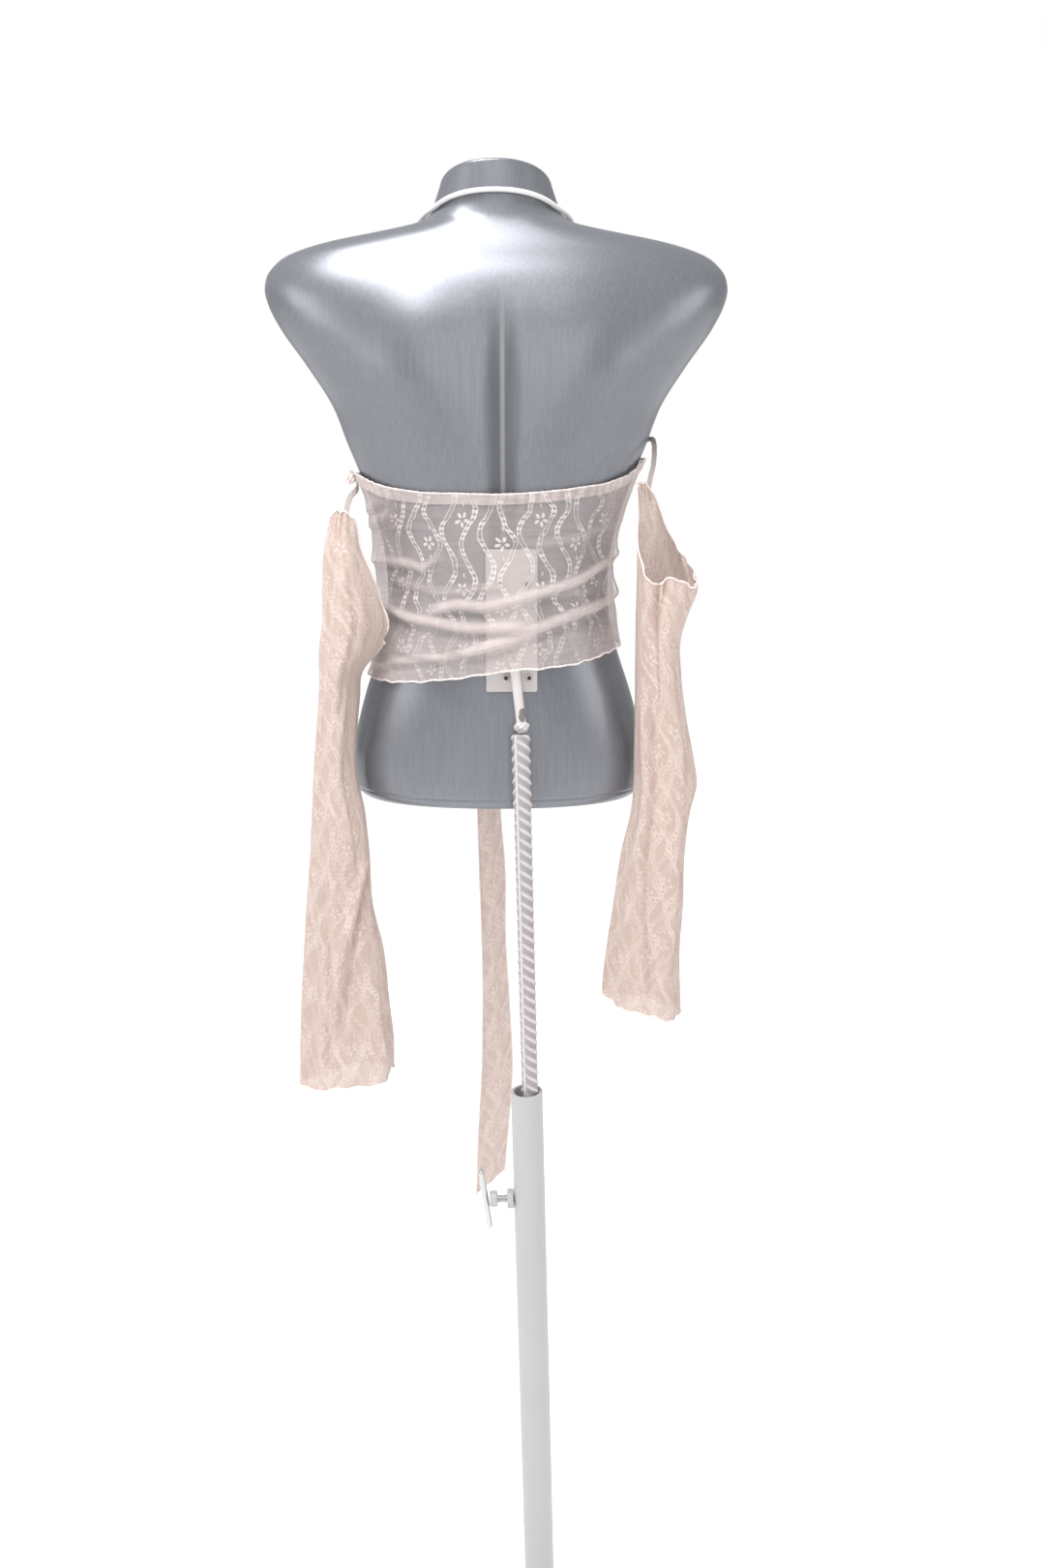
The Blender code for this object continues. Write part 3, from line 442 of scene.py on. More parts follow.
def surface(name, points, uv=None, around=False, ends=False):
    """Faces between neighbours of a rows x columns x 3 array.

    Vertex number is row times columns plus column. A face joins (i, j), (i, j+1), (i+1, j+1) and
    (i+1, j), so it looks along the cross product of the column step and the row step.
    """
    rows, columns = points.shape[:2]
    number = np.arange(rows * columns).reshape(rows, columns)
    grid = np.concatenate((number, number[:, :1]), axis=1) if around else number
    quads = joined(grid[:-1, :-1], grid[:-1, 1:], grid[1:, 1:], grid[1:, :-1])
    places = points.reshape(-1, 3)
    corners = [quads.reshape(-1)]
    sizes = [np.full(quads.shape[0] * quads.shape[1], 4)]
    if ends:
        middles = np.array([points[0].mean(axis=0), points[-1].mean(axis=0)])
        first = joined(grid[0, 1:], grid[0, :-1], len(places))
        last = joined(grid[-1, :-1], grid[-1, 1:], len(places) + 1)
        places = np.concatenate((places, middles))
        corners += [first.reshape(-1), last.reshape(-1)]
        sizes.append(np.full(2 * columns, 3))
    corners, sizes = np.concatenate(corners), np.concatenate(sizes)
    mesh = bpy.data.meshes.new(name)
    mesh.vertices.add(len(places))
    mesh.vertices.foreach_set("co", places.astype(np.float32).ravel())
    mesh.loops.add(len(corners))
    mesh.loops.foreach_set("vertex_index", corners.astype(np.int32))
    mesh.polygons.add(len(sizes))
    starts = np.concatenate(([0], np.cumsum(sizes)[:-1]))
    mesh.polygons.foreach_set("loop_start", starts.astype(np.int32))
    mesh.update(calc_edges=True)
    if uv is not None:
        full = np.zeros((len(corners), 2), np.float32)
        cells = np.stack((uv[:-1, :-1], uv[:-1, 1:], uv[1:, 1:], uv[1:, :-1]), axis=2).reshape(-1, 2)
        full[:len(cells)] = cells
        mesh.uv_layers.new(name="cloth").data.foreach_set("uv", full.ravel())
    mesh.shade_smooth()
    piece = bpy.data.objects.new(name, mesh)
    bpy.context.scene.collection.objects.link(piece)
    return piece


def dress(piece, body, material, slot, *nodes):
    """Give a piece its finish, the body that it moves with, and the CAD nodes that it stands for."""
    piece.data.materials.append(material)
    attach(piece, body)
    if nodes:
        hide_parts(*nodes)
    return piece


def mark(piece, name, values):
    """Keep one value for each point of a piece, for its material to read."""
    values = np.concatenate((values.ravel(), np.zeros(len(piece.data.vertices) - values.size)))
    piece.data.attributes.new(name, "FLOAT", "POINT").data.foreach_set("value", values.astype(np.float32))


def solid(name, points, body, material, slot, *nodes):
    """A dressed piece whose columns join round it, with a fan over each end."""
    return dress(surface(name, points, around=True, ends=True), body, material, slot, *nodes)


def full_turn(sides):
    """Angles round a full turn. The last is left out, since it is the first again."""
    return np.linspace(0, 2 * math.pi, sides, endpoint=False)


def polar(radius, angle, height):
    """Points at radius times the angle's cosine and sine, at a height."""
    return joined(radius * np.cos(angle), radius * np.sin(angle), height)


def wavy_egg(sides, rows, waves, half):
    """An egg with three half sizes. Each wave swells it by high * sin(count * angle + turn * level)."""
    angle, level = np.meshgrid(full_turn(sides), np.linspace(-0.97, 0.97, rows))
    swell = 1 + sum(high * np.sin(count * angle + turn * level) for high, count, turn in waves)
    return polar(swell * np.sqrt(1 - level**2), angle, level) * np.array(half)


def area(points):
    """Area of an open grid of points: half the cross product of each cell's diagonals, added up."""
    first = points[1:, 1:] - points[:-1, :-1]
    second = points[1:, :-1] - points[:-1, 1:]
    return float(0.5 * np.linalg.norm(np.cross(first, second), axis=-1).sum())


print("surface maker ready")

# %% [markdown]
# ## Smooth curves through tables
# A garment is described by a few measured sections. Between them its sizes run on cubic pieces whose
# slopes come from the neighbours, so a short table gives a smooth side.

# %% Smooth curves


def smooth(at, knots, values):
    """Cubic pieces through (knots, values); each slope is that of the two neighbours."""
    at = np.clip(at, knots[0], knots[-1])
    slopes = np.gradient(values, knots)
    low = np.clip(np.searchsorted(knots, at) - 1, 0, len(knots) - 2)
    span = knots[low + 1] - knots[low]
    t = (at - knots[low]) / span
    start = (2 * t**3 - 3 * t**2 + 1) * values[low] + (t**3 - 2 * t**2 + t) * span * slopes[low]
    return start + (3 * t**2 - 2 * t**3) * values[low + 1] + (t**3 - t**2) * span * slopes[low + 1]


def table(rows, columns):
    """A table's columns by name, as arrays."""
    return dict(zip(columns.split(), np.array(rows, dtype=float).T))


def ease(t):
    """A smooth step from 0 to 1."""
    t = np.clip(t, 0.0, 1.0)
    return t * t * (3.0 - 2.0 * t)


def bell(t):
    """1 at 0, and e to the minus t squared beside it."""
    return np.exp(-(t**2))


print("at half way between 0, 1 and 4:", smooth(np.array([0.5]), np.arange(3.0), np.array([0, 1, 4.0])))

# %% [markdown]
# ## The form
# The form is a general figure without limbs. Each level of the table is a rounded oval: a half width,
# a depth to the front and to the back, and the power that makes its corners fuller than an ellipse's.
# The fine surface adds what the solid leaves out: the hollow along the spine, the shoulder blades, and
# the groove round the foot. A surface of two parameters suits it better than sculpting, because the
# cloth pieces further down are made from the same formula, moved outwards.

# %% Outline of the form
FORM_LEVELS = table([
    (1.015, 0.129, 0.086, 0.079, 2.2), (1.02, 0.1345, 0.09, 0.0815, 2.2),
    (1.033, 0.1385, 0.094, 0.0835, 2.2), (1.05, 0.1395, 0.096, 0.084, 2.2),
    (1.08, 0.134, 0.096, 0.0838, 2.2), (1.113, 0.125, 0.093, 0.082, 2.2),
    (1.148, 0.113, 0.0865, 0.079, 2.2), (1.183, 0.104, 0.08, 0.0768, 2.2),
    (1.217, 0.102, 0.078, 0.0765, 2.2), (1.25, 0.1055, 0.082, 0.0785, 2.2),
    (1.285, 0.115, 0.093, 0.0825, 2.2), (1.31, 0.124, 0.101, 0.086, 2.2),
    (1.337, 0.135, 0.105, 0.089, 2.2), (1.371, 0.148, 0.1, 0.09, 2.3),
    (1.404, 0.169, 0.088, 0.088, 2.5), (1.437, 0.192, 0.072, 0.083, 2.7),
    (1.453, 0.2, 0.062, 0.0785, 2.8), (1.469, 0.203, 0.053, 0.073, 2.8),
    (1.483, 0.197, 0.047, 0.067, 2.8), (1.495, 0.18, 0.043, 0.062, 2.7),
    (1.504, 0.15, 0.042, 0.058, 2.5), (1.511, 0.112, 0.0425, 0.055, 2.35),
    (1.518, 0.078, 0.044, 0.0525, 2.2), (1.526, 0.061, 0.045, 0.051, 2.2),
    (1.538, 0.054, 0.045, 0.05, 2.2), (1.552, 0.049, 0.044, 0.049, 2.2),
], "z half front back power")
BUST = {"z": 1.335, "spread": 0.036, "x": 0.062, "width": 0.036, "rise": 0.014}


def form_ring(z, angle, out=0.0):
    """x and y of the form at heights z, moved out by out. Angle 0 is +X and -90 degrees the back.

    A rounded oval of power n has x = half * cos ** (2/n) and y = depth * sin ** (2/n). Its outward
    direction has the same terms with the exponent 2 - 2/n, divided by half and by depth.
    """
    at = {name: smooth(z, FORM_LEVELS["z"], FORM_LEVELS[name]) for name in FORM_LEVELS}
    exponent = 2.0 / at["power"]
    cos, sin = np.cos(angle), np.sin(angle)
    depth = np.where(sin > 0, at["front"], at["back"])
    x = at["half"] * np.sign(cos) * np.abs(cos) ** exponent
    y = depth * np.sign(sin) * np.abs(sin) ** exponent
    bust = bell((z - BUST["z"]) / BUST["spread"]) * bell((np.abs(x) - BUST["x"]) / BUST["width"])
    y = y + BUST["rise"] * bust * np.clip(sin, 0, 1)
    normal_x = np.sign(cos) * np.abs(cos) ** (2 - exponent) / at["half"]
    normal_y = np.sign(sin) * np.abs(sin) ** (2 - exponent) / depth
    size = np.hypot(normal_x, normal_y)
    return x + out * normal_x / size, y + out * normal_y / size


print("half width at the waist", FORM_LEVELS["half"].min(), "m")

# %% Relief of the back
SPINE = {"width": 0.0105, "depth": 0.0068, "rib": 0.09, "rib_width": 0.0022, "low": 1.085, "high": 1.470}
BLADES = {"x": 0.074, "z": 1.402, "width": 0.036, "height": 0.046, "rise": 0.0045}
FOOT_GROOVE = {"z": 1.0240, "half": 0.0012, "depth": 0.0008}


def relief(x, z, sin):
    """Metres that the form's skin stands out from the plain oval.

    The spine is a trough shaped like a bell across x with a narrow rib along its floor, faded in and
    out with z. A shoulder blade is a bell in both directions. The foot's groove runs all round.
    """
    behind = ease(-sin / 0.35)
    spine = bell((x - SPINE_X) / SPINE["width"]) - SPINE["rib"] * bell((x - SPINE_X) / SPINE["rib_width"])
    spine = spine * ease((z - SPINE["low"]) / 0.11) * ease((SPINE["high"] - z) / 0.13)
    blade = bell((np.abs(x - SPINE_X) - BLADES["x"]) / BLADES["width"])
    blade = blade * bell((z - BLADES["z"]) / BLADES["height"])
    groove = bell((z - FOOT_GROOVE["z"]) / FOOT_GROOVE["half"])
    return behind * (BLADES["rise"] * blade - SPINE["depth"] * spine) - FOOT_GROOVE["depth"] * groove


print("spine hollow", relief(np.array(SPINE_X), np.array(1.35), np.array(-1.0)))

# %% Skin of the form
NECK_TOP = 1.552
NECK_SLOPE = 0.26
NECK_EDGE = 0.0035
FOOT = 1.0150
FOOT_EDGE = 0.0030
SKIN_SIDES = 360


def form_skin():
    """Rows from the foot up, then the rounded edges of the slanted neck top and of the foot."""
    turn = full_turn(SKIN_SIDES)
    z = np.concatenate((np.linspace(1.0180, 1.0300, 16), np.linspace(1.0320, 1.5300, 190)))
    angle, level = np.meshgrid(turn, z)
    plain, _ = form_ring(level, angle)
    x, y = form_ring(level, angle, relief(plain, level, np.sin(angle)))
    body = joined(x, y, level)
    foot, neck = [], []
    for step in np.radians(np.linspace(0, 90, 6)[:-1]):
        level = FOOT + FOOT_EDGE * (1 - math.cos(step))
        x, y = form_ring(level, turn, 0.6 * FOOT_EDGE * (math.sin(step) - 1))
        foot.append(joined(x, y, level))
    for step in np.radians(np.linspace(0, 90, 7)):
        x, y = form_ring(NECK_TOP, turn, NECK_EDGE * (math.cos(step) - 1))
        neck.append(joined(x, y, NECK_TOP + NECK_EDGE * (math.sin(step) - 1) - NECK_SLOPE * y))
    neck = np.array(neck)
    between = np.array([body[-1] * (1 - t) + neck[0] * t for t in np.linspace(0.1, 0.9, 9)])
    return np.concatenate((foot, body, between, neck)) + FORM


skin = solid("form_skin", form_skin(), "form", form_finish.material, "form_plastic", "form_torso")
print("form skin", len(skin.data.polygons), "faces")

# %% [markdown]
# ## Folds and edges of the body panels
# The back panel is stretched between the side seams and slips down, so the cloth lies in soft rolls
# across the waist. Each roll is one row: points along its crest, its height and its half width. The
# cloth stands further off where it passes over the steel bracket. Listed rolls follow a
# photograph better than a cloth simulation, which would settle in folds of its own.

# %% Rolls of the back and the front
BACK_ROLLS = [
    ([(-0.112, 1.209), (-0.0977, 1.1957), (-0.0819, 1.1877), (-0.0488, 1.1817), (-0.0214, 1.1784),
      (0.0238, 1.1801)], 0.005, 0.007),
    ([(-0.0216, 1.1583), (0.0087, 1.1676), (0.0322, 1.1776), (0.061, 1.1893), (0.0938, 1.1983),
      (0.111, 1.212)], 0.0048, 0.0072),
    ([(-0.108, 1.143), (-0.0576, 1.1505), (-0.0216, 1.1583), (0.0087, 1.1676)], 0.0028, 0.006),
    ([(-0.0529, 1.1926), (-0.029, 1.198), (-0.0104, 1.1967), (0.0197, 1.2041), (0.0489, 1.2129),
      (0.0687, 1.2196), (0.085, 1.228), (0.106, 1.241)], 0.0052, 0.0068),
    ([(0.05, 1.205), (0.062, 1.2085), (0.08, 1.2095)], 0.0016, 0.0035),
    ([(-0.105, 1.2345), (-0.0724, 1.2317), (-0.0606, 1.2288), (-0.05, 1.2365)], 0.0034, 0.0062),
    ([(-0.1159, 1.2768), (-0.105, 1.2815), (-0.0961, 1.2849)], 0.0022, 0.0045),
    ([(-0.1119, 1.264), (-0.098, 1.269), (-0.0879, 1.2725)], 0.0024, 0.0048),
    ([(-0.09, 1.218), (-0.05, 1.209), (0.005, 1.215)], 0.0015, 0.006),
    ([(0.03, 1.248), (0.07, 1.256), (0.105, 1.27)], 0.0014, 0.006),
    ([(-0.1, 1.16), (-0.06, 1.153), (-0.02, 1.148)], 0.0016, 0.0055),
]
FRONT_ROLLS = [
    ([(-0.098, 1.228), (-0.05, 1.213), (0.02, 1.215)], 0.0042, 0.008),
    ([(-0.02, 1.202), (0.04, 1.213), (0.1, 1.235)], 0.0042, 0.008),
    ([(-0.09, 1.19), (-0.03, 1.182), (0.05, 1.188)], 0.0026, 0.007),
    ([(0.02, 1.164), (0.06, 1.17), (0.105, 1.185)], 0.0022, 0.006),
    ([(-0.115, 1.265), (-0.09, 1.278), (-0.07, 1.3)], 0.002, 0.006),
    ([(0.07, 1.3), (0.092, 1.278), (0.116, 1.268)], 0.002, 0.006),
]
ROLL_FADE = 0.014
ROLL_ABOVE, ROLL_BELOW = 1.50, 0.50
TROUGH = {"depth": 0.35, "below": 1.05, "half": 0.40}
FULLY_BUNCHED = 0.0045
WRINKLES = 26
WRINKLE_SEEDS = {"back": 7, "front": 19}
WRINKLE_HALF = 0.0026


def rolls(x, z, rows):
    """Height of the rolls at points of the panel, and how bunched the cloth is there, from 0 to 1.

    A roll's crest is z = line(x). s is the distance above it in half widths. Above the crest the
    cloth falls away slowly, below it fast, and a shallow trough is tucked under. It fades out past
    its ends.
    """
    total, bunched = np.zeros_like(x), np.zeros_like(x)
    for crest, rise, half in rows:
        crest = np.array(crest)
        line = smooth(x, crest[:, 0], crest[:, 1])
        ends = np.minimum(x - crest[0, 0], crest[-1, 0] - x)
        s = (z - line) / half
        side = np.where(s > 0, ROLL_ABOVE, ROLL_BELOW)
        fade = ease((ends + ROLL_FADE) / (2 * ROLL_FADE))
        trough = TROUGH["depth"] * bell((s + TROUGH["below"]) / TROUGH["half"])
        total = total + rise * fade * (bell(s / side) - trough)
        bunched = bunched + min(1.0, rise / FULLY_BUNCHED) * fade * bell(((s - 0.20) / 0.75) ** 2)
    return total, np.clip(bunched, 0, 1)


def wrinkles(x, z, seed, low, high):
    """Small creases scattered over a panel: short bells, most of them level, with seeded places."""
    chance = np.random.default_rng(seed)
    total = np.zeros_like(x)
    for _ in range(WRINKLES):
        at_x, at_z = chance.uniform(-0.115, 0.115), chance.uniform(low, high)
        slant, length = chance.normal(0.0, 0.30), chance.uniform(0.010, 0.028)
        across = (z - at_z) - slant * (x - at_x)
        crease = bell(across / WRINKLE_HALF) * bell((x - at_x) / length)
        total = total + chance.uniform(0.0004, 0.0011) * crease
    return total


print(len(BACK_ROLLS), "rolls behind,", len(FRONT_ROLLS), "in front")

# %% Panel outlines
CLOTH = 0.0012
EASE = 0.0026
BRIDGE = table([(1.110, 0.0145), (1.150, 0.0145), (1.175, 0.0130), (1.205, 0.0122), (1.246, 0.0098),
                (1.275, 0.004), (1.3, 0), (1.34, 0)], "z rise")
BRIDGE_X = 0.0135
BRIDGE_FLAT = 0.034
BRIDGE_FOOT = 0.080
BACK_EDGES = table([
    (-1, 1.131, 1.312), (-0.88, 1.129, 1.303), (-0.6, 1.13, 1.2944), (-0.25, 1.1365, 1.2922),
    (0.05, 1.1425, 1.2915), (0.33, 1.145, 1.2935), (0.6, 1.1478, 1.2976), (0.83, 1.152, 1.3042),
    (0.95, 1.156, 1.314), (1, 1.1575, 1.325),
], "across hem top")
FRONT_EDGES = table([
    (-1, 1.131, 1.312), (-0.88, 1.133, 1.33), (-0.62, 1.137, 1.376), (-0.46, 1.14, 1.398),
    (-0.36, 1.1415, 1.4), (0, 1.144, 1.388), (0.36, 1.147, 1.4), (0.46, 1.1485, 1.398),
    (0.62, 1.151, 1.38), (0.88, 1.156, 1.34), (1, 1.1575, 1.325),
], "across hem top")
MOTIF_X = -0.0285
MOTIF_Z = 1.2707
SEAM_GAP = math.radians(0.35)
PANEL_COLUMNS = 520
GATHER = 0.0007
WAIST_POWER = 2.2
SLACK = ((180.0, 24.0, 1.232, 0.040, 0.0075), (0.0, 16.0, 1.190, 0.030, 0.0030))
SIDE_BUNCH = {"share": 0.66, "from": 0.078, "over": 0.032}
HEM_BUNCH = {"share": 0.30, "from": 1.182, "over": 0.012}


def from_angle(angle, other):
    """Radians from one angle to another, between minus half a turn and half a turn."""
    return np.arctan2(np.sin(angle - other), np.cos(angle - other))


def panel(angle, share, back, lift):
    """Points of a body panel. share runs from 0 at the hem to 1 at the top edge.

    The cloth stands off the form by its ease, the rolls and the wrinkles, by a bell of slack at each
    side, and behind by the height of the bridge over the bracket. It is bunched at the rolls, towards
    the side seams and along the hem.
    """
    edges = BACK_EDGES if back else FRONT_EDGES
    across = np.sign(np.cos(angle)) * np.abs(np.cos(angle)) ** (2 / WAIST_POWER)
    hem = smooth(across, edges["across"], edges["hem"])
    top = smooth(across, edges["across"], edges["top"])
    hem = hem + GATHER * np.sin(angle * 31 + 1.0) * np.sin(angle * 8.3)
    z = hem + (top - hem) * share
    x, _ = form_ring(z, angle)
    raised, bunched = rolls(x, z, BACK_ROLLS if back else FRONT_ROLLS)
    seed = WRINKLE_SEEDS["back" if back else "front"]
    out = EASE + CLOTH + lift + raised + wrinkles(x, z, seed, 1.145, 1.290)
    for turn, spread, middle, height, amount in SLACK:
        from_side = np.degrees(from_angle(angle, np.radians(turn)))
        out = out + amount * bell(from_side / spread) * bell((z - middle) / height)
    gathers = GATHER * np.sin(angle * 71 + 2 * np.sin(angle * 9)) * ease((share - 0.88) / 0.08)
    if back:
        window = ease((BRIDGE_FOOT - np.abs(x - BRIDGE_X)) / (BRIDGE_FOOT - BRIDGE_FLAT))
        out = out + smooth(z, BRIDGE["z"], BRIDGE["rise"]) * window + gathers
    edge = SIDE_BUNCH["share"] * ease((np.abs(x) - SIDE_BUNCH["from"]) / SIDE_BUNCH["over"])
    edge = edge + HEM_BUNCH["share"] * ease((HEM_BUNCH["from"] - z) / HEM_BUNCH["over"])
    x, y = form_ring(z, angle, out)
    return joined(x, y, z) + FORM, np.clip(np.maximum(bunched, edge), 0, 1)


def along(points, axis):
    """Running length along the rows (axis 0) or the columns (axis 1) of an array of points."""
    steps = np.linalg.norm(np.diff(points, axis=axis), axis=-1)
    start = np.zeros_like(np.take(steps, [0], axis=axis))
    return np.concatenate((start, np.cumsum(steps, axis=axis)), axis=axis)


def metres(path):
    """Length of one line of points, to the millimetre."""
    return round(float(along(path, 0)[-1]), 3)


def panel_uv(points):
    """Metres across from the middle line and up from the motif's row, with the lace's phase."""
    u = along(points, 1)
    middle = np.abs(points[..., 0] - FORM[0] - MOTIF_X).argmin(axis=1)
    u = u - np.take_along_axis(u, middle[:, None], axis=1) + 0.5 * COLUMN
    v = along(points, 0)
    v = v - v[-1] + points[-1, :, 2] - MOTIF_Z
    return joined(u, v)


def make_panel(name, node, material, back=True, low=0.0, high=1.0, rows=170, lift=0.0):
    """One panel or band as a single sheet, from seam to seam."""
    start, end = (-math.pi + SEAM_GAP, -SEAM_GAP) if back else (SEAM_GAP, math.pi - SEAM_GAP)
    angle, share = np.meshgrid(np.linspace(start, end, PANEL_COLUMNS), np.linspace(low, high, rows))
    points, bunched = panel(angle, share, back, lift)
    piece = surface(name, points, panel_uv(points))
    mark(piece, "gathered", bunched)
    return dress(piece, "form", material, "lace", node), points


back_cloth, back_points = make_panel("back_cloth", "back_panel", body_lace)
front_cloth, front_points = make_panel("front_cloth", "front_panel", body_lace, back=False, rows=150)
print("back", round(area(back_points), 4), "m2, front", round(area(front_points), 4), "m2")

# %% [markdown]
# ## Bound edges
# A raw lace edge is overlocked: thread is wound round it in a thin soft roll. A roll is a thin tube
# along the edge's own points. The doubled band along the back's top edge is the same panel formula,
# lifted by one cloth, so it follows every gather of the panel below it.

# %% Tubes along a path


def tube(path, radius, sides=8, up=(0.0, 0.0, 1.0)):
    """Rings round a path. Each ring stands square to the path."""
    way = np.gradient(path, axis=0)
    way = way / np.linalg.norm(way, axis=1)[:, None]
    side = np.cross(way, np.array(up))
    side = side / np.linalg.norm(side, axis=1)[:, None]
    rise = np.cross(side, way)
    turn = full_turn(sides)[:, None]
    ring = side[:, None] * np.cos(turn) + rise[:, None] * np.sin(turn)
    return path[:, None] + ring * np.broadcast_to(radius, len(path))[:, None, None]


def tube_uv(path, sides):
    """Metres along the path, and turns round it."""
    return joined(along(path, 0)[:, None], np.linspace(0, 1, sides + 1))


ROLL_RADIUS = 0.0008
RIM_RADIUS = 0.0009


def edge_roll(name, path, radius=ROLL_RADIUS, up=(0.0, 0.0, 1.0)):
    """An overlocked edge: a thread roll whose thickness wanders a little."""
    spots = np.arange(len(path))
    swell = radius * (1 + 0.14 * np.sin(spots * 0.9) + 0.10 * np.sin(spots * 0.23 + 2))
    piece = surface(name, tube(path, swell, 8, up), tube_uv(path, 8), around=True, ends=True)
    return dress(piece, "form", overlock, "lace")


back_hem = edge_roll("back_hem_roll", back_points[0])
back_rim = edge_roll("back_top_roll", back_points[-1], RIM_RADIUS)
front_hem = edge_roll("front_hem_roll", front_points[0])
front_rim = edge_roll("front_top_roll", front_points[-1])
print("back hem", metres(back_points[0]), "m long")

# %% Doubled band and side seams
BAND_LOW, BAND_HIGH = 0.944, 0.998
BAND_LIFT = 0.0013
band, band_points = make_panel("back_band", "back_top_band", band_lace, True, BAND_LOW, BAND_HIGH, 16,
                               BAND_LIFT)
left_seam = edge_roll("left_side_seam", back_points[:, 0], up=(0, 1, 0))
right_seam = edge_roll("right_side_seam", back_points[:, -1], up=(0, 1, 0))
print("band", metres(band_points[0]), "m long")

# %% [markdown]
# ## Sleeves
# Each sleeve is a separate flared tube. Its mouth is cut out on one side, its cuff at a slant, and it
# hangs from a strap. A sleeve is a table of ovals by height. Long flutes are waves of the angle, and
# the few sharp creases are listed one by one: each follows a line of heights and angles, and drops away
# on one side.

# %% Sleeve shapes
SLEEVE_Y = -0.055
CREASE_FADE = 0.02
LEFT = {
    "oval": table([
        (0.73, -0.1455, 0.0425, 0.023), (0.774, -0.144, 0.042, 0.0225),
        (0.814, -0.1446, 0.0391, 0.0215), (0.873, -0.145, 0.0345, 0.0205),
        (0.912, -0.1478, 0.0292, 0.0195), (0.968, -0.1464, 0.0257, 0.0175),
        (1.008, -0.1468, 0.0229, 0.0155), (1.042, -0.1488, 0.019, 0.014),
        (1.079, -0.1469, 0.0176, 0.0135), (1.114, -0.1437, 0.0176, 0.0135),
        (1.138, -0.1415, 0.0185, 0.015), (1.16, -0.133, 0.0265, 0.018),
        (1.18, -0.1275, 0.0288, 0.02), (1.213, -0.129, 0.0256, 0.02),
        (1.245, -0.1322, 0.0192, 0.0175), (1.262, -0.1312, 0.0158, 0.0155),
        (1.28, -0.1305, 0.0112, 0.0135),
    ], "z x half deep"),
    "mouth": table([
        (-180, 1.269), (-150, 1.274), (-110, 1.279), (-70, 1.273), (-42, 1.256), (-25, 1.215),
        (-8, 1.172), (12, 1.16), (35, 1.178), (60, 1.225), (90, 1.262), (125, 1.274), (155, 1.271),
        (180, 1.269),
    ], "angle z"),
    "cuff": (0.748, 0.014, 190.0),
    "flutes": [(3, 0.075, 0.4, 4.0), (5, 0.055, 1.6, -6.0), (9, 0.020, 0.9, 9.0)],
    "creases": [
        ([(1.1, -92), (1.14, -88), (1.18, -92), (1.235, -98)], 0.003, 0.0034),
        ([(0.8, -104), (0.838, -100), (0.878, -88), (0.918, -62), (0.963, -29)], 0.0052, 0.0046),
        ([(0.76, -128), (0.86, -122), (0.96, -134)], 0.0028, 0.005),
        ([(0.96, -60), (1.04, -75), (1.11, -66)], 0.0022, 0.0032),
        ([(0.755, -38), (0.8, -44), (0.85, -40)], 0.0026, 0.0048),
        ([(0.76, 60), (0.9, 74), (1.06, 82)], 0.0028, 0.005),
        ([(0.79, 130), (0.93, 118), (1.08, 126)], 0.0026, 0.0045),
    ],
}
RIGHT = {
    "oval": table([
        (0.8, 0.1405, 0.0345, 0.02), (0.834, 0.1389, 0.0343, 0.02),
        (0.873, 0.1399, 0.0322, 0.0195), (0.912, 0.1431, 0.0306, 0.019),
        (0.968, 0.1463, 0.0275, 0.0175), (1.006, 0.1517, 0.0256, 0.0165),
        (1.033, 0.1555, 0.0272, 0.016), (1.061, 0.1529, 0.0253, 0.0155),
        (1.096, 0.1489, 0.022, 0.015), (1.132, 0.1458, 0.0197, 0.0145),
        (1.167, 0.1449, 0.019, 0.0155), (1.19, 0.148, 0.0222, 0.018),
        (1.21, 0.1511, 0.0249, 0.0205), (1.235, 0.1483, 0.0222, 0.0205),
        (1.262, 0.142, 0.0165, 0.018), (1.3, 0.1355, 0.012, 0.0135),
    ], "z x half deep"),
    "mouth": table([
        (-180, 1.296), (-165, 1.264), (-148, 1.233), (-128, 1.2175), (-90, 1.2215), (-45, 1.214),
        (-10, 1.218), (25, 1.241), (50, 1.26), (75, 1.288), (100, 1.301), (140, 1.302),
        (180, 1.296),
    ], "angle z"),
    "cuff": (0.824, 0.018, 350.0),
    "flutes": [(3, 0.070, 2.1, -5.0), (5, 0.055, 0.3, 5.0), (8, 0.022, 1.7, -8.0)],
    "creases": [
        ([(1.105, -104), (1.164, -107), (1.207, -126), (1.24, -126)], 0.0026, 0.0032),
        ([(0.835, -96), (0.93, -116), (0.991, -128), (1.038, -134), (1.105, -131)],
         0.0034, 0.0044),
        ([(0.85, -58), (0.93, -52), (1.02, -64)], 0.0028, 0.0046),
        ([(1.03, -70), (1.09, -60), (1.15, -66)], 0.0024, 0.0034),
        ([(0.84, 70), (0.96, 84), (1.12, 76)], 0.0028, 0.005),
        ([(0.85, 128), (0.98, 120), (1.1, 132)], 0.0024, 0.0045),
    ],
}


